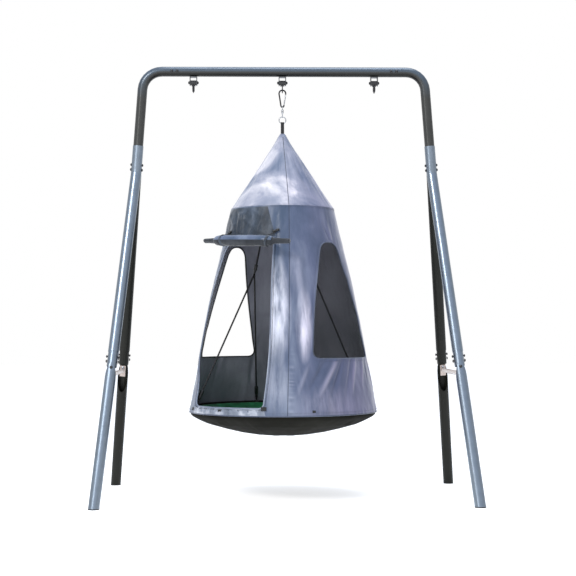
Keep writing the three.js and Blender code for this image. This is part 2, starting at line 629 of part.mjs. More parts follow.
const rollAlong = rollAcross.clone().multiplyScalar(Math.cos(rollLean)).addScaledVector(up, -Math.sin(rollLean));
const rollUp = up.clone().multiplyScalar(Math.cos(rollLean)).addScaledVector(rollAcross, Math.sin(rollLean));
const rollMesh = add(tent, 'door_roll', roll, canopyCloth);
rollMesh.position.copy(rollOut).multiplyScalar(353).addScaledVector(rollAcross, 11).setZ(1347.5);
rollMesh.setRotationFromMatrix(new THREE.Matrix4().makeBasis(rollOut, rollUp, rollAlong.clone().negate()));
rollMesh.updateMatrix();

export default swing;
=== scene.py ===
"""Looks of the hanging tent swing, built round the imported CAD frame. Metres, row frame."""

import json
import math

import bpy
import numpy as np
from mathutils import Matrix, Vector, noise


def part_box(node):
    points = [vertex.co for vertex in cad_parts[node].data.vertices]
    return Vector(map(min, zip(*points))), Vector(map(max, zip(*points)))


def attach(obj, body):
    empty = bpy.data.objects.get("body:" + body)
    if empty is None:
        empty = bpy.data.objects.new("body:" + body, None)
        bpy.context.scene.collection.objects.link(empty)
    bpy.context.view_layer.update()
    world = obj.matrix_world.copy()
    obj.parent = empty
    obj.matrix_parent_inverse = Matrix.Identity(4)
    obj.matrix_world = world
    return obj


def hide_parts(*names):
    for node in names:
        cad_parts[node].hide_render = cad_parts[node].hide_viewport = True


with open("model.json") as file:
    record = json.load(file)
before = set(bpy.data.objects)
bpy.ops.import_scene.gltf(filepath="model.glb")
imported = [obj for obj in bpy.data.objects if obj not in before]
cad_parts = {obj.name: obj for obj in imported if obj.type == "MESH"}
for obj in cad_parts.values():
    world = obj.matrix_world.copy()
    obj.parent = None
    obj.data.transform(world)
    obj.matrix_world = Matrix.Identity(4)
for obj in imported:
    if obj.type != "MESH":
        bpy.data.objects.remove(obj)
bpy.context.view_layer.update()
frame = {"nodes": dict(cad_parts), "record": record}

# ---- camera
CAMERA_AT = Vector((-0.182, -7.280, 0.864))
CAMERA_YAW, CAMERA_PITCH, CAMERA_ROLL = -0.0275, 0.0339, -0.0021
LENS = 84.625
SENSOR = 36.0


def new_object(name, data):
    obj = bpy.data.objects.new(name, data)
    bpy.context.scene.collection.objects.link(obj)
    return obj


def make_camera():
    data = bpy.data.cameras.new("photo_camera")
    data.lens = LENS
    data.sensor_width = SENSOR
    data.clip_end = 100
    camera = new_object("photo_camera", data)
    yaw, pitch = CAMERA_YAW, CAMERA_PITCH
    right = Vector((math.cos(yaw), math.sin(yaw), 0))
    ahead = Vector((-math.sin(yaw) * math.cos(pitch), math.cos(yaw) * math.cos(pitch), math.sin(pitch)))
    up = right.cross(ahead)
    c, s = math.cos(CAMERA_ROLL), math.sin(CAMERA_ROLL)
    basis = Matrix((right * c + up * s, up * c - right * s, -ahead)).transposed()
    camera.matrix_world = Matrix.Translation(CAMERA_AT) @ basis.to_4x4()
    bpy.context.scene.camera = camera


make_camera()

# ---- sizes shared with the CAD
AXIS_X = (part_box("eave_hoop")[0][0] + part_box("eave_hoop")[1][0]) / 2
EAVE_Z = 1.533
RIM_Z = 0.470
HEM_Z = 0.449
EAVE_R = 0.2768
RIM_R = 0.4992
RING_R = 0.481
# angles round the tent in degrees, 0 at the front and growing to the right
DOOR_ANGLE = -39.5
FRONT_WINDOW = 50.5
REAR_WINDOW = -129.5
BACK = 140.5
SEAMS = (5.5, 95.5, -93.0, -174.5)
SEAM_TWIST = 4.3
RNG = np.random.default_rng(7)

# ---- node materials
# the tone of painted highlights on the satin
PAINTED_HIGHLIGHT = (0.62, 0.64, 0.73)
# the tone of painted shade in fold hollows
PAINTED_FOLD_SHADE = (0.050, 0.070, 0.118)
DRIFT_FROM_TO = (-0.05, 0.42)
# heights over which the painted highlight on top faces comes in
PAINTED_TOP_LIGHT_ABOVE = (2.13, 2.25)
BANDS_PER_SCALE = 3.1831
MESH_PITCH, MESH_THREAD = 0.0022, 0.38


def tint(color, factor, more=0.0):
    return [c * factor + more for c in color]


class Tree:
    """A node tree with short calls to add and join nodes."""

    def __init__(self, tree):
        self.tree = tree

    def fill(self, node, **values):
        """Sets a node's own settings, or its inputs, with _ for a space in their names."""
        for key, value in values.items():
            if hasattr(node, key):
                setattr(node, key, value)
            else:
                node.inputs[key.replace("_", " ")].default_value = value
        return node

    def add(self, kind, **values):
        return self.fill(self.tree.nodes.new(kind), **values)

    def join(self, a, a_out, b, b_in):
        self.tree.links.new(a.outputs[a_out], b.inputs[b_in])

    def calc(self, operation, *sources):
        """A Math node. sources: (node, output) pairs or numbers."""
        node = self.add("ShaderNodeMath", operation=operation)
        for place, source in enumerate(sources):
            if isinstance(source, tuple):
                self.join(*source, node, place)
            else:
                node.inputs[place].default_value = source
        return node

    def ramp(self, source, stops, out="Fac"):
        node = self.add("ShaderNodeValToRGB")
        elements = node.color_ramp.elements
        while len(elements) < len(stops):
            elements.new(0.5)
        for element, (at, color) in zip(elements, stops):
            element.position = at
            element.color = (*color, 1)
        self.join(source, out, node, "Fac")
        return node


class Look(Tree):
    """A material: its principled shader and the nodes that feed it."""

    def __init__(self, name, color, roughness, metallic=0.0, **principled):
        self.mat = bpy.data.materials.new(name)
        self.mat.use_nodes = True
        super().__init__(self.mat.node_tree)
        self.shader = self.tree.nodes["Principled BSDF"]
        self.fill(self.shader, Base_Color=(*color, 1), Roughness=roughness, Metallic=metallic, **principled)

    def feed(self, node, socket):
        self.join(node, "Color", self.shader, socket)

    def tones(self, source, low_at, low, high_at, high):
        """The base color, from the tone low to the tone high."""
        self.feed(self.ramp(source, [(low_at, low), (high_at, high)]), "Base Color")

    def coords(self, which="Object", scale=(1, 1, 1), location=(0, 0, 0)):
        mapping = self.add("ShaderNodeMapping", Scale=scale, Location=location)
        self.join(self.add("ShaderNodeTexCoord"), which, mapping, "Vector")
        return mapping

    def noise(self, scale, detail=4, rough=0.55, where=None, distortion=0.0):
        values = {"Scale": scale, "Detail": detail, "Roughness": rough, "Distortion": distortion}
        node = self.add("ShaderNodeTexNoise", **values)
        self.join(where or self.coords(), "Vector", node, "Vector")
        return node

    def gray(self, source, low, high, at=(0.35, 0.65)):
        return self.ramp(source, [(at[0], (low,) * 3), (at[1], (high,) * 3)])

    def rough(self, scale, detail, low, high):
        self.feed(self.gray(self.noise(scale, detail=detail), low, high), "Roughness")

    def bump(self, source, strength, distance, previous=None, out="Fac"):
        node = self.add("ShaderNodeBump", Strength=strength, Distance=distance)
        self.join(source, out, node, "Height")
        if previous is not None:
            self.join(previous, "Normal", node, "Normal")
        self.join(node, "Normal", self.shader, "Normal")
        return node

    def mix(self, shade, tone, amount, out, blend="MIX"):
        node = self.add("ShaderNodeMixRGB", blend_type=blend, Color2=(*tone, 1))
        self.join(amount, out, node, "Fac")
        self.join(shade, "Color", node, "Color1")
        return node

    def paint_highlight_area(self, shade, middle, radii, strength):
        """Paints a soft, upright, streaky highlight onto an area of the cloth."""
        where = self.coords(scale=[1 / r for r in radii], location=[-c / r for c, r in zip(middle, radii)])
        ball = self.add("ShaderNodeTexGradient", gradient_type="SPHERICAL")
        self.join(where, "Vector", ball, "Vector")
        streaks = self.noise(1.0, detail=3, where=self.coords(scale=(34, 34, 3.0)))
        streaks = self.gray(streaks, 0.25, 1.0, (0.36, 0.62))
        soft = self.gray(ball, 0.0, strength, (0.0, 0.75))
        amount = self.calc("MULTIPLY", (streaks, "Color"), (soft, "Color"))
        return self.mix(shade, PAINTED_HIGHLIGHT, amount, "Value")

    def mapped(self, source, out, span, axis="Z"):
        """One axis of a vector, from 0 at the span's start to 1 at its end."""
        split = self.add("ShaderNodeSeparateXYZ")
        self.join(source, out, split, "Vector")
        reach = self.add("ShaderNodeMapRange", From_Min=span[0], From_Max=span[1])
        self.join(split, axis, reach, "Value")
        return reach

    def weave(self, threads_per_m, previous, which):
        """Warp and weft as two crossed waves."""
        where = self.coords(which)
        waves = []
        for way in "XY":
            scale = threads_per_m / BANDS_PER_SCALE / 2
            wave = self.add("ShaderNodeTexWave", Scale=scale, bands_direction=way)
            self.join(where, "Vector", wave, "Vector")
            waves.append((wave, "Fac"))
        return self.bump(self.calc("MULTIPLY", *waves), 0.3, 0.0002, previous, "Value")


def cloth_material(name, dark, mid, light, roughness, threads=900, sheen=0.3, cloud=3.0,
                   stretch=(1, 1, 1), drift=None, highlight_areas=(), crumple=0.25, weave_on="UV", shine=0.4):
    """The painted highlights: soft areas painted lighter, as (middle, radii, strength), in metres."""
    m = Look(name, mid, roughness, Sheen_Weight=sheen, Sheen_Roughness=0.4, Specular_IOR_Level=shine)
    patches = m.noise(cloud, where=m.coords(scale=stretch), distortion=0.5)
    shade = m.ramp(patches, [(0.34, dark), (0.5, mid), (0.66, light)])
    # soft painted highlights
    for area in highlight_areas:
        shade = m.paint_highlight_area(shade, *area)
    if highlight_areas:
        # painted highlight on fold crests and painted shade in fold hollows, read from the mesh
        crease = m.add("ShaderNodeAttribute", attribute_name="painted_fold_light")
        for tone, reach in ((PAINTED_HIGHLIGHT, 0.42), (PAINTED_FOLD_SHADE, -0.9)):
            amount = m.add("ShaderNodeMapRange", From_Max=math.copysign(1, reach), To_Max=abs(reach))
            m.join(crease, "Fac", amount, "Value")
            shade = m.mix(shade, tone, amount, "Result")
    if drift:  # the colour is multiplied by another tone, more and more towards the tent's right side
        across = m.mapped(m.coords(), "Vector", DRIFT_FROM_TO, "X")
        shade = m.mix(shade, drift, across, "Result", "MULTIPLY")
    fine = m.add("ShaderNodeMixRGB", blend_type="MULTIPLY", Fac=0.25)
    m.join(shade, "Color", fine, "Color1")
    m.join(m.gray(m.noise(260, detail=2), 0.78, 1.0), "Color", fine, "Color2")
    m.feed(fine, "Base Color")
    m.rough(9, 3, roughness - 0.07, roughness + 0.08)
    m.weave(threads, m.bump(m.noise(38, detail=5, rough=0.6), crumple, 0.004), weave_on)
    return m.mat


def painted_metal(name, color, roughness, metallic, wear, coat, painted_top_light=None, under=None, shine=0.5):
    """Two optional tones: a painted highlight on faces that look up, high on the frame, and painted shade on
    faces that look down.
    """
    m = Look(name, color, roughness, metallic, Coat_Weight=coat, Coat_Roughness=0.08,
             Specular_IOR_Level=shine)
    scuffs = m.noise(30, detail=6, rough=0.62)
    shade = m.ramp(scuffs, [(0.30, tint(color, 0.88)), (0.55, color), (0.80, color), (0.88, wear)])
    # painted highlight on high faces that look up, painted shade on faces that look down
    if painted_top_light:
        up = m.mapped(m.add("ShaderNodeNewGeometry"), "Normal", (-0.22, 0.06))
        high = m.mapped(m.coords(), "Vector", PAINTED_TOP_LIGHT_ABOVE)
        both = m.calc("MULTIPLY", (up, "Result"), (high, "Result"))
        shade = m.mix(shade, painted_top_light, both, "Value")
        down = m.mapped(m.add("ShaderNodeNewGeometry"), "Normal", (-0.20, -0.50))
        shade = m.mix(shade, under, down, "Result")
    m.feed(shade, "Base Color")
    m.rough(16, 5, roughness - 0.03, roughness + 0.06)
    m.bump(m.noise(600, detail=2), 0.05, 0.0002)
    return m.mat


def bare_metal(name, color, roughness):
    m = Look(name, color, roughness, 1.0)
    m.tones(m.noise(120, detail=6, rough=0.65), 0.3, tint(color, 0.72), 0.7, tint(color, 1.12))
    m.rough(360, 3, roughness - 0.08, roughness + 0.14)
    m.bump(m.noise(600, detail=3), 0.1, 0.0003)
    return m.mat


def plain_material(name, color, roughness, grain=400):
    m = Look(name, color, roughness)
    m.tones(m.noise(grain / 8, detail=6), 0.3, tint(color, 0.7), 0.75, tint(color, 1.35, 0.002))
    m.rough(grain / 3, 3, roughness - 0.08, roughness + 0.1)
    m.bump(m.noise(grain, detail=3), 0.2, 0.0004)
    return m.mat


def webbing_material(name, color, sheen):
    m = Look(name, color, 0.75, Sheen_Weight=sheen)
    rib = m.add("ShaderNodeTexWave", Scale=95.0, bands_direction="DIAGONAL", Distortion=0.4)
    m.join(m.coords("UV"), "Vector", rib, "Vector")
    m.tones(rib, 0.2, tint(color, 0.55), 0.8, tint(color, 1.5, 0.004))
    m.bump(rib, 0.6, 0.0006)
    return m.mat


def mesh_material(name, color):
    """Open insect mesh: threads with gaps between them."""
    m = Look(name, color, 0.8, Specular_IOR_Level=0.08)
    split = m.add("ShaderNodeSeparateXYZ")
    m.join(m.coords("UV", (1 / MESH_PITCH,) * 3), "Vector", split, "Vector")
    threads = []
    for way in "XY":
        part = m.calc("FRACT", (split, way))
        threads.append((m.calc("LESS_THAN", (part, 0), MESH_THREAD), 0))
    m.join(m.calc("MAXIMUM", *threads), 0, m.shader, "Alpha")
    m.tones(m.noise(40, detail=3), 0.3, tint(color, 0.8), 0.7, tint(color, 1.25))
    return m.mat


# soft painted highlights on the canopy's satin, where light catches it
PAINTED_HIGHLIGHT_AREAS = [
    ((-0.045, -0.42, 0.985), (0.075, 0.30, 0.30), 1.0), ((0.090, -0.42, 0.910), (0.048, 0.30, 0.21), 1.0),
    ((0.045, -0.36, 1.19), (0.040, 0.30, 0.12), 0.18), ((-0.05, -0.46, 0.60), (0.085, 0.30, 0.17), 0.32),
    ((0.20, -0.42, 0.50), (0.24, 0.30, 0.11), 0.20), ((0.09, 0.42, 0.95), (0.09, 0.30, 0.30), 0.8),
    ((-0.25, 0.36, 1.2), (0.08, 0.30, 0.2), 0.6), ((0.44, 0.05, 0.8), (0.30, 0.07, 0.25), 0.7),
    ((-0.40, -0.05, 1.0), (0.30, 0.06, 0.3), 0.6),
]
CANOPY = cloth_material(
    "canopy_satin", (0.045, 0.070, 0.120), (0.078, 0.104, 0.170), (0.145, 0.18, 0.25), 0.40,
    cloud=1.0, stretch=(6.5, 6.5, 1.7), drift=(1.10, 0.86, 0.98), highlight_areas=PAINTED_HIGHLIGHT_AREAS)
# A lighter copy of the wall satin for the roof: painted light on the faces that look up.
ROOF = cloth_material(
    "canopy_satin_roof_painted_light", (0.105, 0.135, 0.205), (0.26, 0.275, 0.345), (0.62, 0.60, 0.63), 0.42,
    cloud=4.2, drift=(0.78, 0.66, 0.86))
LINING = cloth_material(
    "canopy_lining", (0.185, 0.187, 0.225), (0.245, 0.245, 0.295), (0.31, 0.31, 0.37), 0.7, sheen=0.05)
PANEL = cloth_material(
    "plain_panel_cloth", (0.011, 0.017, 0.027), (0.022, 0.034, 0.052), (0.070, 0.092, 0.130), 0.45,
    cloud=9, stretch=(1, 1, 0.6), crumple=0.6)
# dark cloth for the roll's underside and thin ends: painted shade
ROLL = cloth_material(
    "rolled_cloth_painted_shade", (0.010, 0.012, 0.016), (0.018, 0.021, 0.027), (0.034, 0.038, 0.047), 0.5,
    cloud=12, crumple=0.5, shine=0.25)
BASE = cloth_material(
    "base_cloth", (0.0045, 0.0045, 0.003), (0.0075, 0.0075, 0.0055), (0.012, 0.012, 0.009), 0.85,
    threads=500, sheen=0.0, shine=0.12)
MAT = cloth_material(
    "mat_cloth", (0.007, 0.090, 0.032), (0.010, 0.165, 0.060), (0.022, 0.24, 0.095), 0.7,
    threads=500, cloud=9, weave_on="Object")
MESH = mesh_material("window_mesh_net", (0.009, 0.009, 0.010))
WEB = webbing_material("black_webbing", (0.006, 0.006, 0.0065), 0.05)
ROPE = webbing_material("braided_rope", (0.006, 0.006, 0.0065), 0.0)
PIPING = cloth_material("piping_cloth", (0.04, 0.05, 0.09), (0.06, 0.075, 0.12), (0.10, 0.12, 0.18), 0.5)
SEAM_CLOTH = cloth_material(
    "seam_cloth", (0.010, 0.015, 0.030), (0.018, 0.025, 0.045), (0.030, 0.040, 0.065), 0.55)
EDGE = cloth_material(
    "pale_piping_cloth", (0.10, 0.125, 0.18), (0.17, 0.20, 0.27), (0.30, 0.33, 0.40), 0.45)
BAND = cloth_material(
    "pale_band_cloth", (0.10, 0.12, 0.155), (0.20, 0.225, 0.28), (0.52, 0.54, 0.60), 0.42,
    cloud=11, crumple=0.6)
THREAD = plain_material("stitch_thread", (0.07, 0.08, 0.11), 0.6)
# the frame's paint, with a painted highlight on the beam's top and painted shade on its undersides
FRAME = painted_metal(
    "frame_powder_coat", (0.045, 0.046, 0.044), 0.30, 0.40, (0.060, 0.062, 0.062), 0.15,
    painted_top_light=(0.066, 0.087, 0.112), under=(0.005, 0.005, 0.004), shine=0.35)
# Lit and shaded copies of the frame's paint: the front legs painted light and glossy, the rear legs painted
# dark and dull, as shade.
LIT_FRONT_LEG = painted_metal(
    "front_leg_painted_light_coat", (0.225, 0.27, 0.325), 0.33, 0.92, (0.30, 0.34, 0.40), 0.12)
SHADED_REAR_LEG = painted_metal(
    "rear_leg_painted_shade_coat", (0.0095, 0.010, 0.0075), 0.48, 0.0, (0.022, 0.022, 0.019), 0.0, shine=0.22)
CAP = plain_material("black_cap", (0.008, 0.008, 0.009), 0.38)
RUBBER = plain_material("foot_rubber", (0.014, 0.014, 0.015), 0.7, grain=250)
NYLON = plain_material("black_nylon", (0.012, 0.012, 0.013), 0.42)
ZINC = bare_metal("zinc_plate", (0.40, 0.41, 0.43), 0.3)
DARK_ZINC = bare_metal("dark_zinc_plate", (0.085, 0.088, 0.092), 0.34)
BLACK_STEEL = painted_metal(
    "black_steel", (0.007, 0.007, 0.008), 0.36, 0.1, (0.05, 0.05, 0.055), 0.1, shine=0.3)
BRACE = painted_metal("brace_paint", (0.50, 0.42, 0.38), 0.34, 0.1, (0.66, 0.6, 0.55), 0.3)
DARK_PLASTIC = plain_material("dark_plastic", (0.010, 0.010, 0.011), 0.35)

# ---- CAD nodes


def smoothing_group(name, angle):
    """A modifier that joins facets' shared points and shades them smooth up to an angle."""
    group = bpy.data.node_groups.new(name, "GeometryNodeTree")
    for in_out in ("INPUT", "OUTPUT"):
        group.interface.new_socket("Geometry", in_out=in_out, socket_type="NodeSocketGeometry")
    tree = Tree(group)
    start, end = tree.add("NodeGroupInput"), tree.add("NodeGroupOutput")
    merge = tree.add("GeometryNodeMergeByDistance", Distance=0.00002)
    faces = tree.add("GeometryNodeSetShadeSmooth")
    edges = tree.add("GeometryNodeSetShadeSmooth", domain="EDGE", Shade_Smooth=False)
    bend = tree.add("GeometryNodeInputMeshEdgeAngle")
    more = tree.add("FunctionNodeCompare", operation="GREATER_THAN")
    more.inputs[1].default_value = angle
    tree.join(start, 0, merge, "Geometry")
    tree.join(merge, "Geometry", faces, "Geometry")
    tree.join(faces, "Geometry", edges, "Geometry")
    tree.join(bend, "Unsigned Angle", more, 0)
    tree.join(more, "Result", edges, "Selection")
    tree.join(edges, "Geometry", end, 0)
    return group


SMOOTH_TUBES = smoothing_group("smooth_tubes", math.radians(26))
SMOOTH_SMALL = smoothing_group("smooth_small", math.radians(47))
TUBE_SLOTS = ("frame_paint", "brace_steel", "foot_rubber")
SLOT_LOOK = {
    "frame_paint": FRAME,
    "bolt_cap": CAP,
    "foot_rubber": RUBBER,
    "brace_steel": BRACE,
    "zinc": ZINC,
    "nylon": NYLON,
    "black_steel": BLACK_STEEL,
}
for entry in frame["record"]["subparts"]:
    name, slot = entry["node"], entry["material_slot"]
    data = frame["nodes"][name].data
    look = SLOT_LOOK.get(slot)
    if look is None:
        continue
    data.materials.clear()
    # the front legs take the copy of the paint painted light, the rear legs the copy painted as shade
    if name.endswith("_leg") and slot == "frame_paint":
        look = LIT_FRONT_LEG if "_front_" in name else SHADED_REAR_LEG
    if name.endswith("_hanger_bracket"):
        look = DARK_ZINC
    if name.endswith(("_hanger_eye", "_pivot_bolt")):
        look = BLACK_STEEL
    data.materials.append(look)
    custom = data.attributes.get("custom_normal")
    if custom is not None:
        data.attributes.remove(custom)
    shade = frame["nodes"][name].modifiers.new("shade", "NODES")
    shade.node_group = SMOOTH_TUBES if slot in TUBE_SLOTS else SMOOTH_SMALL


def make(name, verts, faces, material, uvs=None, body="tent", smooth=True, also=(), which=None):
    """A piece. also: more materials after the first. which: the number of each face's material."""
    mesh = bpy.data.meshes.new(name)
    mesh.from_pydata([tuple(v) for v in verts], [], faces)
    mesh.validate()
    for each in (material, *also):
        mesh.materials.append(each)
    if which is not None:
        mesh.polygons.foreach_set("material_index", which)
    if smooth:
        mesh.polygons.foreach_set("use_smooth", [True] * len(mesh.polygons))
    if uvs is not None:
        layer = mesh.uv_layers.new(name="metres")
        index = np.zeros(len(mesh.loops), np.int32)
        mesh.loops.foreach_get("vertex_index", index)
        layer.data.foreach_set("uv", np.asarray(uvs, np.float32)[index].ravel())
    obj = new_object(name, mesh)
    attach(obj, body)
    return obj


def run_along(points):
    """The length of a line from its start to each of its points."""
    steps = np.linalg.norm(np.diff(np.asarray(points, float), axis=0), axis=1)
    return np.concatenate([[0], np.cumsum(steps)])


def grid_faces(rows, cols, wrap_rows=False, wrap_cols=False, flip=False):
    """The quads between the points of a grid, row by row."""
    faces = []
    for i in range(rows if wrap_rows else rows - 1):
        low, high = i * cols, (i + 1) % rows * cols
        for q in range(cols if wrap_cols else cols - 1):
            r = (q + 1) % cols
            a, b, c, d = low + q, low + r, high + r, high + q
            faces.append((a, d, c, b) if flip else (a, b, c, d))
    return faces


def frames_along(points, closed=False, hint=None):
    """Points, the way along and two side directions at each, carried along without twist."""
    p = np.asarray(points, float)
    t = np.roll(p, -1, 0) - np.roll(p, 1, 0) if closed else np.gradient(p, axis=0)
    t /= np.maximum(np.linalg.norm(t, axis=1)[:, None], 1e-12)
    if hint is None:
        hint = (0, 0, 1) if abs(t[0][2]) < 0.9 else (1, 0, 0)
    side = np.asarray(hint, float)
    sides = []
    for way in t:
        side = side - way * side.dot(way)
        side /= max(np.linalg.norm(side), 1e-12)
        sides.append(side)
    sides = np.array(sides)
    return p, t, sides, np.cross(t, sides)


def sweep(name, points, section, material, closed=False, hint=None):
    """A closed section, as (side, other) pairs in metres, carried along points."""
    p, _, a, b = frames_along(points, closed, hint)
    s = np.asarray(section, float)
    k, n = len(s), len(p)
    verts = (p[:, None] + (s[None, :, :1] * a[:, None] + s[None, :, 1:] * b[:, None])).reshape(-1, 3)
    uvs = np.stack([np.tile(run_along(s), n), np.repeat(run_along(p), k)], 1)
    faces = grid_faces(n, k, closed, True)
    if not closed:
        faces += [tuple(range(k - 1, -1, -1)), tuple(range((n - 1) * k, n * k))]
    return make(name, verts, faces, material, uvs)


def circle(radius, sides):
    a = np.arange(sides) * 2 * np.pi / sides
    return np.stack([radius * np.cos(a), radius * np.sin(a)], 1)


def tape_section(width, thick):
    w, t = width / 2, thick / 2
    r = t * 0.8
    right = [(-t + r, w), (t - r, w), (t, w - r)]
    left = [(t, -w + r), (t - r, -w), (-t + r, -w), (-t, -w + r)]
    return [*right, *left, (-t, w - r)]


def smooth_path(points, per_span):
    """Catmull-Rom through the points."""
    p = [Vector(q) for q in points]
    p = [2 * p[0] - p[1], *p, 2 * p[-1] - p[-2]]
    out = []
    for a, b, c, d in zip(p, p[1:], p[2:], p[3:]):
        for k in range(per_span):
            t = k / per_span
            at = (2 * b) + (c - a) * t
            at = at + (2 * a - 5 * b + 4 * c - d) * t * t
            out.append(0.5 * (at + (3 * b - a - 3 * c + d) * t ** 3))
    out.append(p[-2])
    return out


def turned(name, profile, centre, axis, sides, material, body="tent"):
    """A profile of (radius, along) pairs turned about an axis through centre."""
    z = Vector(axis).normalized()
    x = z.orthogonal().normalized()
    y = z.cross(x)
    centre = Vector(centre)
    run = run_along(profile)
    verts, uvs = [], []
    for i in range(sides):
        a = 2 * math.pi * i / sides
        for (r, h), u in zip(profile, run):
            verts.append(centre + (x * math.cos(a) + y * math.sin(a)) * r + z * h)
            uvs.append((a * 0.02, u))
    faces = grid_faces(sides, len(profile), wrap_rows=True, flip=True)
    return make(name, verts, faces, material, uvs, body)


def mirrored(half, middle=()):
    """A profile and its mirror image. half: (radius, along) pairs from the low end."""
    return [*half, *middle, *((r, -h) for r, h in half[::-1])]


# ---- canopy surface
OUTLINE = [
    (0.0128, 1.9435), (0.0195, 1.934), (0.0415, 1.893), (0.0665, 1.852), (0.102, 1.799),
    (0.1375, 1.7455), (0.173, 1.692), (0.208, 1.6385), (0.2755, 1.5365), (EAVE_R, EAVE_Z),
]
BULGE = [
    (0.448, 0), (0.62, 0.000), (0.725, 0.003), (0.83, 0.007), (0.94, 0.0095), (1.05, 0.010),
    (1.15, 0.010), (1.31, 0.005), (1.42, 0.002), (1.533, 0),
]


def direction(angle):
    a = np.radians(angle)
    return np.sin(a), -np.cos(a)


def at_angle(angle, radius, z):
    dx, dy = direction(angle)
    return Vector((AXIS_X + radius * dx, radius * dy, z))


def base_radius(z):
    z = np.asarray(z, float)
    roof_r, roof_z = np.array(OUTLINE)[::-1].T
    roof = np.interp(z, roof_z, roof_r)
    wall = EAVE_R + (EAVE_Z - z) * (RIM_R - EAVE_R) / (EAVE_Z - RIM_Z)
    wall = wall + np.interp(z, *np.array(BULGE).T)
    wall = np.minimum(wall, RIM_R + 0.0008)
    return np.where(z > EAVE_Z, roof, wall)


def turn_from(angle, other):
    return (np.asarray(angle, float) - other + 180) % 360 - 180


def hill(distance, width):
    """1 at no distance, falling away over the width."""
    return np.exp(-((distance / width) ** 2))


def seam_at(seam, z):
    """A seam's angle: the wall is twisted a little, so the seam runs straight down as seen from the front."""
    return seam - SEAM_TWIST * np.clip((EAVE_Z - np.asarray(z, float)) / (EAVE_Z - HEM_Z), 0, 1)


# soft folds: from (angle, z) to (angle, z), half-width in metres, depth in metres
FOLDS = [
    (45, 1.415, 50.5, 1.338, 0.007, -0.006), (51, 1.43, 52.5, 1.345, 0.010, 0.004),
    (12, 1.24, 13.5, 0.78, 0.016, 0.006), (17.5, 1.30, 17, 0.83, 0.012, -0.005),
    (9, 1.12, 9.5, 0.70, 0.010, -0.004), (36.5, 0.735, 22, 0.560, 0.010, 0.0105),
    (41, 0.725, 30, 0.56, 0.009, -0.009), (28, 0.735, 15, 0.58, 0.011, -0.008),
    (15, 0.70, 8, 0.57, 0.009, 0.006), (55, 0.728, 47, 0.57, 0.009, 0.007),
    (50, 0.727, 42, 0.575, 0.008, -0.006), (66, 0.727, 60, 0.60, 0.010, 0.006),
    (71, 0.728, 69, 0.62, 0.008, -0.005), (80, 0.74, 88, 0.53, 0.014, 0.006),
    (-3, 1.32, 1.5, 0.92, 0.012, 0.004), (-6, 0.84, -1, 0.52, 0.016, -0.004),
    (-8.5, 1.26, -7, 0.6, 0.009, 0.004), (-58, 1.500, -52, 1.385, 0.010, -0.005),
    (-47, 1.505, -44, 1.38, 0.008, 0.004), (-30, 1.505, -35, 1.38, 0.009, -0.005),
    (-22, 1.500, -27, 1.375, 0.008, 0.004),
]


def more_folds():
    """Folds of the sides that are turned away, in the same manner as the front's."""
    made = []
    for middle in (REAR_WINDOW, BACK):
        for _ in range(9):
            angle = middle + RNG.uniform(-42, 42)
            low = RNG.uniform(0.5, 0.7)
            ends = (angle, low + RNG.uniform(0.08, 0.4), angle + RNG.uniform(-8, 8), low)
            width = RNG.uniform(0.009, 0.018)
            made.append((*ends, width, RNG.choice([-1, 1]) * RNG.uniform(0.003, 0.007)))
    for _ in range(8):
        angle = RNG.uniform(100, 180)
        ends = (angle, RNG.uniform(1.3, 1.5), angle + RNG.uniform(-6, 6), RNG.uniform(0.95, 1.2))
        made.append((*ends, 0.014, RNG.choice([-1, 1]) * 0.004))
    return made


def roof_folds():
    made = []
    for a in np.arange(-176, 180, 13) + RNG.uniform(-3, 3, 28):
        ends = (a, 1.90 - RNG.uniform(0, 0.1), a + RNG.uniform(-5, 5), 1.545 + RNG.uniform(0, 0.08))
        width = RNG.uniform(0.008, 0.016)
        made.append((*ends, width, RNG.choice([-1, 1]) * RNG.uniform(0.0015, 0.0035)))
    return made


FOLDS += more_folds()
ROOF_FOLDS = roof_folds()


def fold_height(angle, z, folds):
    """Sum of the tapered folds at each point of the wall."""
    r = base_radius(z)
    total = np.zeros_like(r)
    for a1, z1, a2, z2, width, depth in folds:
        middle = (a1 + a2) / 2
        x = np.radians(turn_from(angle, middle)) * r
        r1, r2 = float(base_radius(z1)), float(base_radius(z2))
        p1 = np.array([math.radians(a1 - middle) * r1, z1])
        p2 = np.array([math.radians(a2 - middle) * r2, z2])
        d = p2 - p1
        length = np.linalg.norm(d)
        d /= length
        along = (x - p1[0]) * d[0] + (z - p1[1]) * d[1]
        across = (x - p1[0]) * -d[1] + (z - p1[1]) * d[0]
        t = np.clip(along / length, 0, 1)
        past = np.where(along < 0, -along, np.where(along > length, along - length, 0))
        taper = np.sin(np.pi * (0.08 + 0.84 * t)) ** 0.7 * hill(past, 0.02)
        total += depth * taper * hill(across, width)
    return total


def lumps(angle, z, scale_a, scale_z, seed):
    """Smooth noise that closes on itself round the tent."""
    a = np.radians(angle)
    flat = np.stack([np.sin(a) * scale_a, np.cos(a) * scale_a, z * scale_z + seed], -1).reshape(-1, 3)
    return np.array([noise.noise(Vector(q)) for q in flat]).reshape(a.shape)


def pucker_wave(z):
    return np.sin(z * 2 * np.pi / 0.024 + 3.4 * np.sin(z * 31)) * (0.6 + 0.4 * np.sin(z * 83 + 1))


def painted_fold_light(angle, z):
    """Painted light on folds and seam puckers: up to 1 where they stand out and get a painted highlight, down
    to -1 where they sink in and get painted shade.
    """
    tone = fold_height(angle, z, FOLDS) / 0.014
    for s in SEAMS:
        off = np.radians(turn_from(angle, seam_at(s, z))) * base_radius(z)
        tone += 0.40 * hill(off - 0.017, 0.013) * np.clip((0.80 - z) / 0.15, 0, 1) * pucker_wave(z)
    return np.where(z <= EAVE_Z, np.clip(tone, -1, 1), 0)


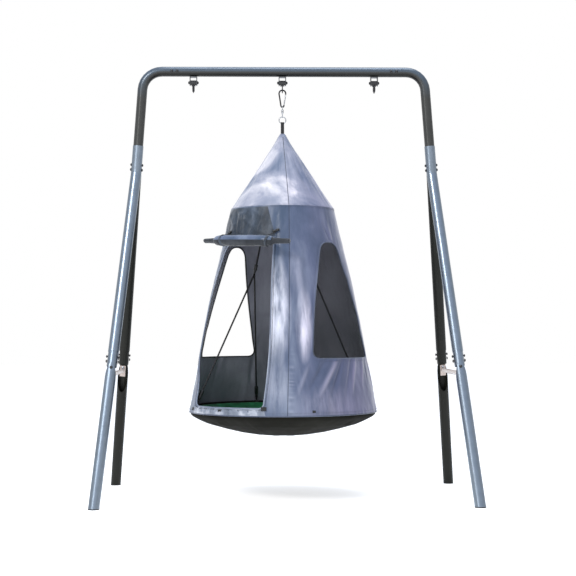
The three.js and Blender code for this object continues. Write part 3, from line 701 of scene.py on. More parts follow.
def canopy_point(angle, z, lift=0.0):
    """Points of the finished outer surface: angle in degrees, z in metres."""
    angle, z = np.broadcast_arrays(np.asarray(angle, float), np.asarray(z, float))
    r = base_radius(z)
    wall = z <= EAVE_Z
    soft_wall = np.clip((EAVE_Z - z) / 0.06, 0, 1) * np.clip((z - HEM_Z) / 0.03, 0.15, 1)
    soft_roof = np.clip((z - EAVE_Z) / 0.04, 0, 1) * np.clip((1.93 - z) / 0.1, 0, 1)
    wave = 0.0035 * lumps(angle, z, 4.2, 3.0, 3.0) + 0.0018 * lumps(angle, z, 11, 9, 11.0)
    wave = wave + 0.0008 * lumps(angle, z, 26, 30, 5.0)
    folds = np.where(wall, fold_height(angle, z, FOLDS), fold_height(angle, z, ROOF_FOLDS))
    seam = np.zeros_like(r)
    for s in SEAMS:
        off = np.radians(turn_from(angle, seam_at(s, z))) * r
        seam -= 0.0016 * hill(off, 0.004)
        pucker = hill(off - 0.014, 0.012) + hill(off + 0.014, 0.012)
        seam += 0.0024 * pucker * (np.clip((0.80 - z) / 0.15, 0.15, 1) * wall) * pucker_wave(z)
    turn = np.radians(angle)
    ripple = 0.0022 * np.sin(turn * 61 + 3 * np.sin(turn * 7))
    ruffle = np.clip((0.500 - z) / 0.035, 0, 1) * (ripple * lumps(angle, z * 0, 6, 0, 9.0) * 2)
    out = (wave + folds) * np.where(wall, soft_wall, soft_roof) + seam + ruffle
    # cloth is stretched over the hoop, the ring and the rim: nothing pushes far in there
    out = np.clip(out, -0.012, 0.0115)
    out = np.where(z < 0.56, np.maximum(out, -0.002), out)
    r = r + out + lift
    dx, dy = direction(angle)
    return np.stack([AXIS_X + r * dx, r * dy, z], -1)


# ---- openings in the wall
class Opening:
    """A rounded opening in the wall, laid out square on at its middle angle."""

    def __init__(self, angle, corners):
        """corners: (across, z, rounding), anticlockwise as seen from outside."""
        self.angle = angle
        spots = [np.array(corner[:2]) for corner in corners]
        path = []
        for i, c in enumerate(spots):
            before, after = spots[i - 1] - c, spots[(i + 1) % len(spots)] - c
            p = c + before / np.linalg.norm(before) * corners[i][2]
            q = c + after / np.linalg.norm(after) * corners[i][2]
            for t in np.linspace(0, 1, 14):
                path.append((1 - t) ** 2 * p + 2 * t * (1 - t) * c + t * t * q)
        path = np.array([*path, path[0]])
        run = run_along(path)
        at = np.linspace(0, run[-1], int(run[-1] / 0.006), endpoint=False)
        self.line = np.stack([np.interp(at, run, path[:, k]) for k in (0, 1)], 1)

    def flat(self, angle, z):
        off = np.radians(turn_from(angle, self.angle))
        return base_radius(z) * np.sin(off), np.abs(off) < math.radians(75)

    def angle_at(self, across, z):
        return self.angle + np.degrees(np.arcsin(np.clip(across / base_radius(z), -0.999, 0.999)))

    def holds(self, angle, z):
        x, near = self.flat(angle, z)
        inside = np.zeros(x.shape, bool)
        for (x1, z1), (x2, z2) in zip(self.line, np.roll(self.line, -1, 0)):
            crosses = (z1 > z) != (z2 > z)
            with np.errstate(divide="ignore", invalid="ignore"):
                inside ^= crosses & (x < (x2 - x1) * (z - z1) / (z2 - z1) + x1)
        return inside & near

    def rim(self, grow=0.0, lift=0.0):
        """The outline on the wall's surface, grown outwards along the wall and lifted off it."""
        t = np.roll(self.line, -1, 0) - np.roll(self.line, 1, 0)
        t /= np.linalg.norm(t, axis=1)[:, None]
        line = self.line + grow * np.stack([t[:, 1], -t[:, 0]], 1)
        return canopy_point(self.angle_at(line[:, 0], line[:, 1]), line[:, 1], lift)


DOOR = Opening(DOOR_ANGLE, [
    (-0.240, 0.489, 0.045), (0.221, 0.489, 0.024), (0.217, 0.800, 0.150), (0.160, 1.345, 0.032),
    (-0.145, 1.335, 0.045), (-0.362, 0.865, 0.190), (-0.246, 0.600, 0.060)])
FRONT = Opening(FRONT_WINDOW, [
    (-0.2383, 0.7375, 0.045), (0.2283, 0.7375, 0.045), (0.043, 1.343, 0.052), (-0.077, 1.343, 0.052),
    (-0.176, 1.060, 0.150)])
REAR = Opening(REAR_WINDOW, [
    (-0.2333, 0.7375, 0.045), (0.2333, 0.7375, 0.045), (0.0610, 1.343, 0.060), (-0.0610, 1.343, 0.060)])
OPENINGS = (DOOR, FRONT, REAR)


def canopy_sheet():
    columns = 400
    angles = np.arange(columns) * 360 / columns - 180
    roof = []
    for (r1, z1), (r2, z2) in zip(OUTLINE[:-1], OUTLINE[1:]):
        steps = max(1, round(math.hypot(r2 - r1, z2 - z1) / 0.0095))
        roof += [z1 + (z2 - z1) * k / steps for k in range(steps)]
    rows = np.array(roof + list(np.linspace(EAVE_Z, HEM_Z, 137)))
    grid_a, grid_z = (part.copy() for part in np.meshgrid(angles, rows))
    inside = np.zeros(grid_a.shape, int)
    for i, opening in enumerate(OPENINGS):
        inside[opening.holds(grid_a, grid_z)] = i + 1
    # a cell stays if any corner is outside; its inside corners move onto the outline
    after = np.roll(inside, -1, 1)
    keep = (np.stack([inside[:-1], inside[1:], after[:-1], after[1:]]) == 0).any(0)
    used = np.zeros(inside.shape, bool)
    for down in (0, 1):
        for across in (0, 1):
            used[down:len(rows) - 1 + down] |= np.roll(keep, across, 1)
    for i, opening in enumerate(OPENINGS):
        move = used & (inside == i + 1)
        x, _ = opening.flat(grid_a[move], grid_z[move])
        z = grid_z[move]
        gap = (x[:, None] - opening.line[None, :, 0]) ** 2 + (z[:, None] - opening.line[None, :, 1]) ** 2
        nearest = opening.line[gap.argmin(1)]
        grid_z[move] = nearest[:, 1]
        grid_a[move] = opening.angle_at(nearest[:, 0], nearest[:, 1])
    verts = canopy_point(grid_a, grid_z).reshape(-1, 3)
    slant = run_along(np.stack([base_radius(rows), rows], 1))
    round_tent = np.radians(grid_a) * np.maximum(base_radius(grid_z), 0.1)
    uvs = np.stack([round_tent, np.broadcast_to(slant[:, None], grid_a.shape)], -1).reshape(-1, 2)
    index = np.arange(len(rows) * columns).reshape(len(rows), columns)
    right = np.roll(index, -1, 1)
    quads = np.stack([index[:-1], index[1:], right[1:], right[:-1]], -1)[keep]
    ids = np.unique(quads)
    renumber = np.full(len(verts), -1)
    renumber[ids] = np.arange(len(ids))
    row_of = np.broadcast_to(np.arange(len(rows) - 1)[:, None], keep.shape)[keep]
    # the roof rows take the copy of the satin that is painted lighter
    obj = make("canopy", verts[ids], renumber[quads].tolist(), CANOPY, uvs[ids],
               also=[LINING, ROOF, LINING], which=np.where(row_of < len(roof), 2, 0))
    # per point: painted light and shade along the folds
    tone = obj.data.attributes.new("painted_fold_light", "FLOAT", "POINT")
    tone.data.foreach_set("value", painted_fold_light(grid_a, grid_z).ravel()[ids].astype(np.float32))
    thick = obj.modifiers.new("cloth", "SOLIDIFY")
    thick.thickness = 0.0016
    thick.offset = -1
    thick.material_offset = 1
    thick.material_offset_rim = 0
    return obj


canopy = canopy_sheet()
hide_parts("roof_canopy", "door_wall", "front_window_wall", "rear_window_wall", "back_wall")

# bindings of the openings, piping at eave and hem, and the seams
trims = []
for name, opening, material, radius in (
        ("door_binding", DOOR, EDGE, 0.0036),
        ("front_window_binding", FRONT, PIPING, 0.0032),
        ("rear_window_binding", REAR, DARK_PLASTIC, 0.0040)):
    path = opening.rim(lift=-0.0006)
    trims += [sweep(name, path, circle(radius, 10), material, closed=True)]
for name, z, lift, radius, material in (
        ("eave_piping", EAVE_Z + 0.001, 0.0002, 0.0015, ROOF),
        ("hem_binding", HEM_Z + 0.002, -0.0008, 0.0032, PIPING)):
    sweep(name, canopy_point(np.arange(0, 360, 1.0), z, lift), circle(radius, 8), material, closed=True)
for i, seam in enumerate(SEAMS):
    roof_part = np.linspace(1.925, EAVE_Z + 0.004, 60)
    zs = np.concatenate([roof_part, np.linspace(EAVE_Z - 0.004, HEM_Z + 0.004, 190)])
    sweep(f"seam_{i + 1}", canopy_point(seam_at(seam, zs), zs, 0.0004), circle(0.0015, 6), SEAM_CLOTH)

# ---- window mesh


def wall_patch(name, opening, grow, lift, material):
    """A sheet of the wall's shape behind an opening."""
    line = opening.line
    after = np.roll(line, -1, 0)
    low, high = line[:, 1].min(), line[:, 1].max()
    zs = np.arange(low - grow, high + grow + 1e-6, 0.011)
    cols = 44
    verts, uvs = [], []
    for z in zs:
        row = np.clip(z, low + 0.001, high - 0.001)
        hit = (line[:, 1] > row) != (after[:, 1] > row)
        (x1, z1), (x2, z2) = line[hit].T, after[hit].T
        edges = x1 + (x2 - x1) * (row - z1) / (z2 - z1)
        xs = np.linspace(edges.min() - grow, edges.max() + grow, cols)
        verts.append(canopy_point(opening.angle_at(xs, z), z, lift))
        uvs.append(np.stack([xs, np.full(cols, z)], 1))
    return make(name, np.concatenate(verts), grid_faces(len(zs), cols), material, np.concatenate(uvs))


net = wall_patch("window_net", FRONT, 0.012, -0.0032, MESH)
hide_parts("window_mesh")

# ---- base and mat
UNDER = [
    (0.0, 0.3225), (0.07, 0.3245), (0.134, 0.3292), (0.231, 0.3450), (0.320, 0.3660), (0.407, 0.3910),
    (0.452, 0.4110), (0.482, 0.4270), (0.4925, 0.4370), (0.4962, 0.4500), (0.4966, 0.4700),
]
MAT_PROFILE = [
    (0.0, 0.3530), (0.134, 0.3600), (0.231, 0.3755), (0.320, 0.3970), (0.400, 0.4270), (0.438, 0.4590),
    (0.452, 0.4770), (0.460, 0.4800), (0.4635, 0.4700), (0.4645, 0.4520), (0.4605, 0.4270),
    (0.436, 0.4105), (0.402, 0.3940), (0.319, 0.3700), (0.230, 0.3490), (0.1336, 0.3330), (0.0, 0.3260),
]
# radius and z of the surface half-way between the mat's top and bottom
MAT_MIDDLE = (
    [0.0, 0.134, 0.231, 0.320, 0.402, 0.436, 0.4645],
    [0.3395, 0.3465, 0.362, 0.3835, 0.410, 0.434, 0.452],
)
SLEEVE_R = 0.0154
MAT_TOP_RUN = 0.495
MAT_RING_GAP = 0.085
MAT_SPOKE_STEP = 15
MAT_SEAM = 0.006


def refine(profile, step):
    profile = np.asarray(profile, float)
    run = run_along(profile)
    at = np.linspace(0, run[-1], int(run[-1] / step) + 1)
    return np.stack([np.interp(at, run, profile[:, k]) for k in (0, 1)], 1)


def polar_sheet(name, profile, columns, material, shape):
    """A sheet turned about the tent's axis. profile: (radius, z) from the middle out. shape: its folds."""
    rows = len(profile)
    grid = (rows, columns)
    a = np.broadcast_to(np.arange(columns) * 360 / columns - 180, grid)
    r, z, s = (np.broadcast_to(v[:, None], grid) for v in (*np.array(profile).T, run_along(profile)))
    dx, dy = direction(a)
    dr, dz = shape(a, s, r, z)
    verts = np.stack([AXIS_X + (r + dr) * dx, (r + dr) * dy, z + dz], -1).reshape(-1, 3)
    uvs = np.stack([r * dx, r * dy], -1).reshape(-1, 2)
    faces = grid_faces(rows, columns, wrap_cols=True)[columns:]
    faces += [(0, columns + (j + 1) % columns, columns + j) for j in range(columns)]
    obj = make(name, verts, faces, material, uvs)
    obj.modifiers.new("weld", "WELD").merge_threshold = 0.00005
    return obj


def base_shape(a, s, r, z):
    ripple = lumps(a, z, 7, 14, 2.0) * 0.0022 + lumps(a, z * 0, 22, 0, 6.0) * 0.0016
    outer = np.clip((r - 0.30) / 0.1, 0, 1) * np.clip((0.497 - r) / 0.02, 0, 1) * (z < 0.45)
    off_gore = np.abs((a + 180) % 45 - 22.5) * np.radians(1) * np.maximum(r, 0.02)
    gore = -0.0014 * hill(off_gore, 0.005) * (z < 0.44)
    bump = np.zeros_like(r)
    for angle, size in ((-58, 0.007), (-49, 0.006), (51, 0.008), (150, 0.007)):
        off = np.radians(turn_from(a, angle)) * r
        bump -= size * hill(off, 0.014) * hill(r - 0.43, 0.022) * (z < 0.44)
    return np.zeros_like(r), (ripple * outer + gore + bump) * (z < 0.452)


def mat_shape(a, s, r, z):
    top = np.clip((MAT_TOP_RUN - s) / 0.03, 0, 1)
    ring = (r % MAT_RING_GAP) / MAT_RING_GAP
    spoke = (a + 180) % MAT_SPOKE_STEP / MAT_SPOKE_STEP
    off_spoke = np.minimum(spoke, 1 - spoke) * np.radians(MAT_SPOKE_STEP) * np.maximum(r, 0.03)
    sewn = (r > 0.05) * (r < 0.43)
    channel = -0.0035 * hill(np.minimum(ring, 1 - ring) * MAT_RING_GAP, MAT_SEAM) * sewn
    quilt = -0.003 * hill(off_spoke, MAT_SEAM) * sewn
    fold = 0.0035 * np.sin(2 * np.pi * (a / 4.5 + 1.3 * lumps(a, z * 0, 9, 0, 4.0)))
    fold = fold * np.clip((r - 0.36) / 0.08, 0, 1)
    up = (channel + quilt + fold * 0.5 + 0.002 * lumps(a, z * 0 + r, 5, 9, 1.0)) * top
    return fold * 0.6 * top, up


rim_turns = np.radians(np.arange(0, 196, 15))
rim_profile = [(RING_R + SLEEVE_R * math.cos(t), RIM_Z + SLEEVE_R * math.sin(t)) for t in rim_turns]
base_profile = np.concatenate([refine(UNDER, 0.011), rim_profile[1:]])
base = polar_sheet("saucer_cloth", base_profile, 240, BASE, base_shape)
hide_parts("saucer_base")
mat_top = polar_sheet("saucer_pad", refine(MAT_PROFILE, 0.0095), 300, MAT, mat_shape)
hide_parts("saucer_mat")


def final_mesh(obj):
    """A new mesh: the object with all its modifiers applied."""
    graph = bpy.context.evaluated_depsgraph_get()
    return bpy.data.meshes.new_from_object(obj.evaluated_get(graph), depsgraph=graph)


def points_of(mesh):
    flat = np.empty(len(mesh.vertices) * 3, np.float32)
    mesh.vertices.foreach_get("co", flat)
    return flat.reshape(-1, 3)


def on_mat_seams(points):
    x, y = points[:, 0] - AXIS_X, points[:, 1]
    r = np.hypot(x, y)
    half_gap, half_step = MAT_RING_GAP / 2, MAT_SPOKE_STEP / 2
    ring = (r + half_gap) % MAT_RING_GAP - half_gap
    spoke = (np.degrees(np.arctan2(x, -y)) + half_step) % MAT_SPOKE_STEP - half_step
    near = (np.abs(ring) < MAT_SEAM) | (np.abs(np.radians(spoke)) * r < MAT_SEAM)
    return near | (r > 0.436) | (r < 0.05)


def puff(obj, voxel=0.007, pressure=4.0, reach=0.007, frames=20):
    """Blows the mat up a little between its sewn lines with the Cloth simulation, and writes the result
    into its mesh. reach: how far the top may move; the underside moves 1 mm at most."""
    obj.modifiers.clear()
    grid = obj.modifiers.new("grid", "REMESH")
    grid.mode = "VOXEL"
    grid.voxel_size = voxel
    grid.use_smooth_shade = True
    bpy.context.view_layer.update()
    solid = final_mesh(obj)
    obj.modifiers.clear()
    materials = list(obj.data.materials)
    obj.data = solid
    solid.materials.clear()
    for material in materials:
        solid.materials.append(material)
    start = points_of(solid)
    held = obj.vertex_groups.new(name="sewn")
    held.add(np.nonzero(on_mat_seams(start))[0].tolist(), 1.0, "REPLACE")
    cloth = obj.modifiers.new("Cloth", "CLOTH")
    cloth.settings.quality = 4
    cloth.settings.mass = 0.3
    cloth.settings.use_pressure = True
    cloth.settings.uniform_pressure_force = pressure
    cloth.settings.vertex_group_mass = "sewn"
    cloth.settings.effector_weights.gravity = 0
    cloth.point_cache.frame_start = 1
    cloth.point_cache.frame_end = frames
    for number in range(1, frames + 1):
        bpy.context.scene.frame_set(number)
    moved = points_of(final_mesh(obj)) - start
    bpy.context.scene.frame_set(1)
    obj.modifiers.clear()
    obj.vertex_groups.clear()
    far = np.linalg.norm(moved, axis=1)[:, None]
    middle = np.interp(np.hypot(start[:, 0] - AXIS_X, start[:, 1]), *MAT_MIDDLE)[:, None]
    most = np.where(start[:, 2:] + 0.004 > middle, reach, 0.001)
    moved *= np.minimum(1, most / np.maximum(far, 1e-9))
    solid.vertices.foreach_set("co", (start + moved).astype(np.float32).ravel())
    solid.update()
    solid.polygons.foreach_set("use_smooth", [True] * len(solid.polygons))
    finer = obj.modifiers.new("finer", "SUBSURF")
    finer.levels = finer.render_levels = 1


puff(mat_top)

# ---- ropes
STRAP_END_Z = 1.880
SPLIT_R, SPLIT_Z = 0.172, 1.192
ROPE_END_Z = 0.491
BELT_R = 0.0172
SNAP_RING_R, SNAP_RING_BACK, SNAP_RING_UP = 0.010, 0.006, 0.004
ADJUSTER_UP, SLIDER_UP = 0.032, 0.062
LEG_SPREAD = (-45, 45)
ADJUSTER = [
    (0.0053, -0.018), (0.0085, -0.018), (0.0102, -0.012), (0.0102, -0.004), (0.0088, -0.001),
    (0.0088, 0.003), (0.0102, 0.006), (0.0102, 0.012), (0.0085, 0.018), (0.0053, 0.018),
]
SLIDER = mirrored([(0.0048, -0.024), (0.0088, -0.024), (0.0105, -0.018)])
WRAP = mirrored([(0.0046, -0.005), (0.0075, -0.003)], [(0.0082, 0)])


def straight(start, end, count):
    return [start.lerp(end, t) for t in np.linspace(0, 1, count)]


for side, hand, heading in ((-1, "left", -118), (1, "right", 62)):
    top = Vector((AXIS_X + side * 0.006, side * -0.010, STRAP_END_Z - 0.001))
    split = at_angle(heading, SPLIT_R, SPLIT_Z)
    main = sweep(f"{hand}_rope_main", straight(top, split, 40), circle(0.005, 12), ROPE)
    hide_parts(f"{hand}_rope")
    down = (split - top).normalized()
    above = split - down * ADJUSTER_UP
    body = turned(f"{hand}_adjuster_body", ADJUSTER, above, down, 20, DARK_PLASTIC)
    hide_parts(f"{hand}_rope_adjuster")
    for number, spread in enumerate(LEG_SPREAD, 1):
        angle = heading + spread
        leg = at_angle(angle, RING_R, ROPE_END_Z)
        sweep(f"{hand}_rope_leg_{number}", straight(split, leg, 48), circle(0.0046, 12), ROPE)
        along = (leg - split).normalized()
        slider_at = leg - along * SLIDER_UP
        turned(f"{hand}_leg_slider_{number}", SLIDER, slider_at, along, 16, DARK_PLASTIC)
        for knot in (34, 22):
            turned(f"{hand}_leg_wrap_{number}_{knot}", WRAP, leg - along * (knot / 1000), along, 14, ROPE)
        # snap ring and the loop of webbing round the saucer ring that it hooks into
        ring_at = leg + Vector((0, 0, SNAP_RING_UP))
        across = Vector(direction(angle + 90) + (0,))
        loop = []
        for t in np.linspace(0, 2 * np.pi, 25)[:-1]:
            middle = ring_at + along * (SNAP_RING_R * math.cos(t) - SNAP_RING_BACK)
            loop.append(middle + across * SNAP_RING_R * math.sin(t))
        sweep(f"{hand}_leg_ring_{number}", loop, circle(0.0017, 8), ZINC, closed=True)
        turns = np.linspace(0, 2 * np.pi, 40)[:-1]
        belt = [at_angle(angle, RING_R + BELT_R * math.cos(t), RIM_Z + BELT_R * math.sin(t)) for t in turns]
        sweep(f"{hand}_ring_loop_{number}", belt, tape_section(0.018, 0.0014), WEB, closed=True,
              hint=(*direction(angle), 0))

# ---- strap over the ring
RING_Z, RING_RADIUS = 2.0176, 0.0184
STRAP_TOP = RING_Z - RING_RADIUS + 0.002
STRAP_BEND = 0.0042
for i, shift in enumerate((-0.0045, 0.0045)):
    x = AXIS_X + shift
    route = [(AXIS_X + shift * 1.1, -0.010, STRAP_END_Z), (AXIS_X + shift * 1.02, -0.0075, 1.935),
             (x, -STRAP_BEND, STRAP_TOP)]
    turns = np.linspace(math.pi, 0, 9)[1:-1]
    arc = [(x, STRAP_BEND * math.cos(t), STRAP_TOP + STRAP_BEND * math.sin(t)) for t in turns]
    back = [(x, -y, z) for x, y, z in route[::-1]]
    path = smooth_path([*route, *arc, *back], 6)
    strap = sweep(f"apex_strap_{i + 1}", path, tape_section(0.0090, 0.0022), WEB, hint=(0, 1, 0))
    if i == 0:
        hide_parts("top_strap")

# ---- rolled-up door
OUT = Vector(direction(DOOR_ANGLE) + (0,))
ACROSS = Vector(direction(DOOR_ANGLE + 90) + (0,))
UP = Vector((0, 0, 1))
ROLL_SHIFT = 0.011
ROLL_AT = Vector((AXIS_X, 0, 1.3475)) + OUT * 0.353 + ACROSS * ROLL_SHIFT
ROLL_LEAN = math.radians(2.6)
ROLL_HALF = 0.2875
ROLL_BEND = 1.2
ROLL_AROUND, ROLL_RINGS = 40, 150
TIES = (-0.48, 0.56)
TIE_WALL_R, TOGGLE_Z = 0.325, 1.398
TOGGLE = mirrored([(0.0, -0.019), (0.005, -0.018), (0.0066, -0.013), (0.0066, -0.004), (0.0052, -0.002)])


def roll_line(s):
    """The roll's middle line: s from -1 to 1. Returns the place and the way out from the tent there."""
    turn = s * ROLL_HALF / ROLL_BEND
    along = ACROSS * math.cos(ROLL_LEAN) - Vector((0, 0, math.sin(ROLL_LEAN)))
    at = ROLL_AT + OUT * (ROLL_BEND * math.cos(turn) - ROLL_BEND) + along * ROLL_BEND * math.sin(turn)
    away = OUT * math.cos(turn) + along * math.sin(turn)
    return at, away


def roll_radius(s):
    places = [0, 0.35, 0.55, 0.64, 0.69, 0.85, 1.0]
    return float(np.interp(abs(s), places, [0.0292, 0.0290, 0.0285, 0.0250, 0.0150, 0.0134, 0.0126]))


def rolled_door():
    verts, uvs = [], []
    for i in range(ROLL_RINGS):
        s = -1 + 2 * i / (ROLL_RINGS - 1)
        at, away = roll_line(s)
        radius = roll_radius(s)
        pinch = sum(0.0026 * math.exp(-(((s - t) * ROLL_HALF / 0.010) ** 2)) for t in TIES)
        for j in range(ROLL_AROUND):
            phi = 2 * math.pi * j / ROLL_AROUND
            c, d = math.cos(phi), math.sin(phi)
            lump = noise.noise(Vector((s * 5, c * 1.4, d * 1.4)))
            crease = noise.noise(Vector((s * 22, c * 2.5 + 7, d * 2.5)))
            layer = 0.0016 * (((phi / (2 * math.pi)) * 3 + 0.4 * s) % 1.0)
            r = radius * (1 + 0.06 * lump + 0.03 * crease) + layer - 0.0012 - pinch * (radius > 0.02)
            verts.append(at + away * (r * c) + UP * (r * d))
            uvs.append((radius * phi, s * ROLL_HALF))
    faces = grid_faces(ROLL_RINGS, ROLL_AROUND, wrap_cols=True)
    # the top side of the roll's middle shows the canopy cloth; the underside and the thin ends take the dark
    # roll cloth, painted shade
    which = []
    for i in range(ROLL_RINGS - 1):
        middle = abs(-1 + 2 * (i + 0.5) / (ROLL_RINGS - 1)) < 0.66
        for j in range(ROLL_AROUND):
            top_side = 0.12 < 2 * math.pi * (j + 0.5) / ROLL_AROUND < math.pi * 0.98
            which.append(0 if top_side and middle else 1)
    ring = range(ROLL_AROUND)
    faces += [tuple(ring[::-1]), tuple((ROLL_RINGS - 1) * ROLL_AROUND + j for j in ring)]
    return make("rolled_door", verts, faces, CANOPY, uvs, also=[ROLL], which=which + [1, 1])


roll = rolled_door()
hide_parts("door_roll")

for number, s, slant in zip((1, 2), TIES, (-0.010, 0.010)):
    at, away = roll_line(s)
    r = roll_radius(s) + 0.0012 - 0.0016
    loop = []
    for t in np.linspace(0, 2 * np.pi, 36)[:-1]:
        spot = at + away * (r * math.cos(t)) + Vector((0, 0, r * math.sin(t)))
        loop.append(spot + ACROSS * slant * math.sin(t))
    sweep(f"tie_strap_{number}", loop, tape_section(0.013, 0.0016), PANEL, closed=True, hint=tuple(away))
    wall_angle = DOOR_ANGLE + math.degrees(math.asin((ROLL_SHIFT + s * ROLL_HALF) / TIE_WALL_R))
    toggle = Vector(canopy_point(wall_angle, TOGGLE_Z, 0.0105))
    sideways = Vector((*direction(wall_angle + 90), 0.35)).normalized()
    turned(f"tie_toggle_{number}", TOGGLE, toggle, sideways, 18, DARK_PLASTIC)
    on_roll = at + away * 0.006 + Vector((0, 0, roll_radius(s) + 0.001))
    hang = smooth_path([toggle, toggle + Vector((0, 0, -0.010)) + away * 0.004, on_roll], 8)
    sweep(f"tie_loop_{number}", hang, circle(0.0022, 8), WEB)

# ---- sewn panel above the roll


def wall_strip(name, corners, lift, material, rows, cols, ripple=None):
    """A sheet on the wall between four (angle, z) corners: top left, top right, bottom left, bottom right."""
    (a0, z0), (a1, z1), (a2, z2), (a3, z3) = corners
    t = np.linspace(0, 1, rows)[:, None]
    u = np.linspace(0, 1, cols)[None, :]
    angle = (a0 * (1 - u) + a1 * u) * (1 - t) + (a2 * (1 - u) + a3 * u) * t
    z = (z0 * (1 - u) + z1 * u) * (1 - t) + (z2 * (1 - u) + z3 * u) * t
    height = lift + (ripple(t, u) if ripple else 0)
    verts = canopy_point(angle, z, height).reshape(-1, 3)
    uvs = np.stack([np.radians(angle) * 0.3, z], -1).reshape(-1, 2)
    return make(name, verts, grid_faces(rows, cols, flip=True), material, uvs)


def edge_fade(t, u, down, across):
    """0 at a strip's edges, 1 inside."""
    return np.minimum(np.minimum(t, 1 - t) * down, np.minimum(u, 1 - u) * across).clip(0, 1)


def panel_ripple(t, u):
    lean_right, lean_left = u * 2.3 + t * 0.9, u * 3.1 - t * 1.6
    sharp = np.abs(np.sin(np.pi * lean_right)) ** 6 + 0.8 * np.abs(np.sin(np.pi * lean_left + 1)) ** 8
    soft = 0.5 + 0.5 * np.sin(2 * np.pi * (u * 1.3 + t * 0.7))
    return (0.0046 * np.clip(sharp, 0, 1.1) + 0.0016 * soft) * edge_fade(t, u, 5, 6) + 0.0006


# the panel's cloth is darker than the wall satin: partly the panel's own darker tone, partly painted shade of
# its wrinkles
panel_corners = [(-86, 1.527), (-17.5, 1.527), (-86, 1.372), (-8.5, 1.372)]
panel = wall_strip("sewn_panel", panel_corners, 0.0012, PANEL, 50, 110, panel_ripple)

# ---- door zip, tapes and stitches
STITCH, STITCH_GAP = (0.0034, 0.0007, 0.0007), 0.0055


def tape_round(name, opening, grow, width, lift):
    """A flat tape beside an opening's outline, on the wall."""
    inner, outer = opening.rim(grow, lift), opening.rim(grow + width, lift)
    count = len(inner)
    verts = np.stack([inner, (inner + outer) / 2, outer], 1).reshape(-1, 3)
    uvs = np.stack([np.tile([0, width / 2, width], count), np.repeat(run_along(inner), 3)], 1)
    return make(name, verts, grid_faces(count, 3, wrap_rows=True), CANOPY, uvs)


def teeth(name, line, size=STITCH, gap=STITCH_GAP, material=THREAD):
    """Small raised blocks along a line, as one mesh."""
    p, t, a, b = frames_along(line, closed=True)
    run = run_along(p)
    index = np.searchsorted(run, np.arange(0, run[-1], gap)).clip(0, len(p) - 1)
    signs = [(x, y, z) for x in (-1, 1) for y in (-1, 1) for z in (-1, 1)]
    box = np.array(signs, float) * np.array(size) / 2
    quads = [(0, 1, 3, 2), (4, 6, 7, 5), (0, 4, 5, 1), (2, 3, 7, 6), (0, 2, 6, 4), (1, 5, 7, 3)]
    verts, faces = [], []
    for n, i in enumerate(index):
        verts.append(p[i] + box @ np.stack([t[i], a[i], b[i]]))
        faces += [tuple(8 * n + q for q in quad) for quad in quads]
    return make(name, np.concatenate(verts), faces, material, smooth=False)


tape_round("door_zip_tape", DOOR, 0.004, 0.018, 0.0009)
tape_round("front_window_tape", FRONT, 0.003, 0.011, 0.0007)
tape_round("rear_window_tape", REAR, 0.003, 0.011, 0.0007)
teeth("door_zip_teeth", DOOR.rim(0.0085, 0.0018), (0.0018, 0.0022, 0.0042), 0.0035, DARK_PLASTIC)
teeth("door_stitches", DOOR.rim(0.019, 0.0014))
teeth("front_window_stitches", FRONT.rim(0.012, 0.0014))
teeth("rear_window_stitches", REAR.rim(0.012, 0.0014))

# ---- pale band and patches under the door


def band_ripple(t, u):
    fine = 0.0008 * np.sin(2 * np.pi * (u * 23 - 0.9 * t) + 2 * np.sin(u * 19))
    return (0.0016 + (0.0011 * np.sin(2 * np.pi * (u * 9 + 0.7 * t)) + fine)) * edge_fade(t, u, 5, 12)


band_corners = [(-71, 0.4862), (-12.5, 0.4862), (-72.5, 0.4532), (-11.5, 0.4532)]
threshold = wall_strip("threshold_band", band_corners, 0.0010, BAND, 14, 150, band_ripple)
patches = [(-12.6, 0.488, 0.028, 0.020), (-41.3, 0.4756, 0.024, 0.009), (-71, 0.474, 0.024, 0.016)]
for i, (angle, z, width, height) in enumerate(patches):
    half = math.degrees(width / 2 / 0.498)
    corners = [(a, end) for end in (z + height / 2, z - height / 2) for a in (angle - half, angle + half)]
    wall_strip(f"hook_patch_{i + 1}", corners, 0.0048, WEB, 6, 8)
for name, z, lift in (("hem_stitches", 0.4665, 0.0008), ("eave_stitches", EAVE_Z - 0.008, 0.0007)):
    teeth(name, canopy_point(np.arange(0, 360, 0.5), z, lift))

# ---- fasteners that are only looks
CAP_R, CAP_H = 0.0075, 0.006
CAP_PROFILE = [
    (0, 0), (CAP_R * 1.15, 0), (CAP_R * 1.15, 0.0012), (CAP_R, 0.0014), (CAP_R * 0.96, CAP_H * 0.5),
    (CAP_R * 0.7, CAP_H * 0.86), (CAP_R * 0.35, CAP_H), (0, CAP_H),
]
BRACE_HEAD = [
    (0, 0), (0.0085, 0), (0.0085, 0.0014), (0.0068, 0.0016), (0.0066, 0.0052), (0.0052, 0.0066), (0, 0.0068),
]
BRACE_CAP = [(0, 0), (0.0085, 0), (0.0078, 0.003), (0.0055, 0.0058), (0, 0.0068)]
BUSH = [*mirrored([(0.0111, -0.0060), (0.0150, -0.0060), (0.0172, -0.0045)]), (0.0111, -0.0060)]
EYE_Z = 2.1877
TUBE_GRIP = 0.0286
PLATE_FROM_AXIS = 0.0320
COLLAR_LEAN = 0.0728
COLLAR_CAP_DOWN, LEG_CAP_DOWN = 0.026, 0.025
APEX_X, APEX_Z = 0.79769, 1.728
FOOT_X, FOOT_Y = 0.958, 0.550
BRACE_Z, BRACE_BOLT_DOWN = 0.668, 0.021


def cap_bolt(name, at, axis):
    """A domed cap at both ends of a bolt through a tube, each standing on a washer."""
    z = Vector(axis).normalized()
    for end, sign in (("a", -1), ("b", 1)):
        start = Vector(at) + z * sign * TUBE_GRIP
        turned(f"{name}_{end}", CAP_PROFILE, start, z * sign, 18, CAP, body="stand")


def node_axis(node):
    """Middle and long direction of a bolt's node."""
    co = np.array([v.co for v in frame["nodes"][node].data.vertices], float)
    middle = co.mean(0)
    _, _, axes = np.linalg.svd(co - middle)
    return Vector(middle), Vector(axes[0])


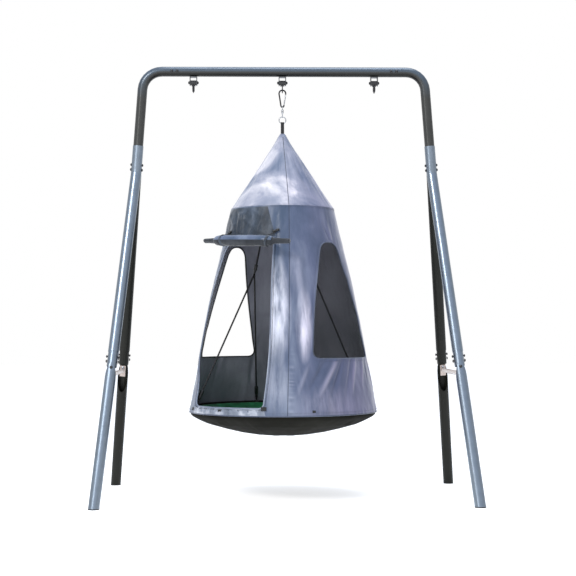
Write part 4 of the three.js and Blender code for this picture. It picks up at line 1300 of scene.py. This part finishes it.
for hand in ("left", "right"):
    low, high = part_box(f"{hand}_hanger_eye")
    eye = ((low[0] + high[0]) / 2, 0, EYE_Z)
    turned(f"{hand}_eye_bush", BUSH, eye, (1, 0, 0), 28, NYLON, body=f"{hand}_hanger")

for hand, side in (("left", -1), ("right", 1)):
    drop = Vector((side * COLLAR_LEAN, 0, -1)).normalized()
    middle, axis = node_axis(f"{hand}_collar_bolt")
    cap_bolt(f"{hand}_collar_cap_low", middle + drop * COLLAR_CAP_DOWN, axis)
    apex = Vector((side * APEX_X, 0, APEX_Z))
    for end, way in (("front", -1), ("rear", 1)):
        along = (Vector((side * FOOT_X, way * FOOT_Y, 0)) - apex).normalized()
        middle, axis = node_axis(f"{hand}_{end}_leg_bolt")
        cap_bolt(f"{hand}_{end}_leg_cap_low", middle + along * LEG_CAP_DOWN, axis)
        # brace bolt: through the saddle plate and the leg
        at = apex + along * ((BRACE_Z - apex.z) / along.z)
        inward = (Vector((0, 1, 0)) - along * along.y).normalized() * -way
        head = at + inward * PLATE_FROM_AXIS - along * BRACE_BOLT_DOWN
        turned(f"{hand}_{end}_brace_bolt_head", BRACE_HEAD, head, inward, 6, ZINC, body="stand")
        cap = at - inward * TUBE_GRIP - along * BRACE_BOLT_DOWN
        turned(f"{hand}_{end}_brace_bolt_cap", BRACE_CAP, cap, -inward, 18, CAP, body="stand")

# ---- floor and light
floor = bpy.data.meshes.new("floor")
floor.from_pydata([(-30, -30, 0), (30, -30, 0), (30, 30, 0), (-30, 30, 0)], [], [(0, 1, 2, 3)])
floor_obj = new_object("floor", floor)
floor_look = Look("floor_pale", (0.90, 0.89, 0.87), 0.8, Emission_Color=(1.0, 0.98, 0.95, 1),
                  Emission_Strength=0.42)
floor_look.tones(floor_look.noise(2.0, detail=2), 0.3, (0.89, 0.88, 0.86), 0.7, (0.91, 0.90, 0.88))
floor.materials.append(floor_look.mat)

# a sky that is white low down and bluer above, a little darker to the left and right
world = bpy.data.worlds.new("studio")
bpy.context.scene.world = world
world.use_nodes = True
sky = Tree(world.node_tree)
split = sky.add("ShaderNodeSeparateXYZ")
sky.join(sky.add("ShaderNodeTexCoord"), "Generated", split, "Vector")
above = sky.ramp(split, [(0.30, (1, 1, 1)), (0.62, (0.72, 0.82, 1.0))], "Z")
sides = sky.ramp(sky.calc("ABSOLUTE", (split, "X")), [(0.42, (1, 1, 1)), (0.80, (0.76,) * 3)], "Value")
darker = sky.add("ShaderNodeMixRGB", blend_type="MULTIPLY", Fac=1.0)
sky.join(above, "Color", darker, "Color1")
sky.join(sides, "Color", darker, "Color2")
sky.join(darker, "Color", sky.fill(sky.tree.nodes["Background"], Strength=1.0), "Color")
bpy.context.scene.view_settings.view_transform = "Standard"


def area_light(name, at, to, size, power, color):
    data = bpy.data.lights.new(name, "AREA")
    data.energy = power
    data.shape = "RECTANGLE"
    data.size, data.size_y = size
    data.color = color
    light = new_object(name, data)
    light.location = at
    light.rotation_mode = "QUATERNION"
    light.rotation_quaternion = (Vector(to) - Vector(at)).to_track_quat("-Z", "Y")
    light.visible_camera = False


area_light("key", (-3.4, -4.6, 5.4), (0, 0, 1.2), (1.6, 1.6), 215, (1.0, 0.99, 0.97))
area_light("side_strip", (-3.3, -4.3, 1.9), (0, 0, 1.1), (0.7, 3.4), 34, (1.0, 1.0, 1.0))
area_light("sky", (0.5, 0.0, 6.0), (0, 0, 1.5), (3.0, 3.0), 160, (0.90, 0.94, 1.0))

bpy.context.view_layer.update()
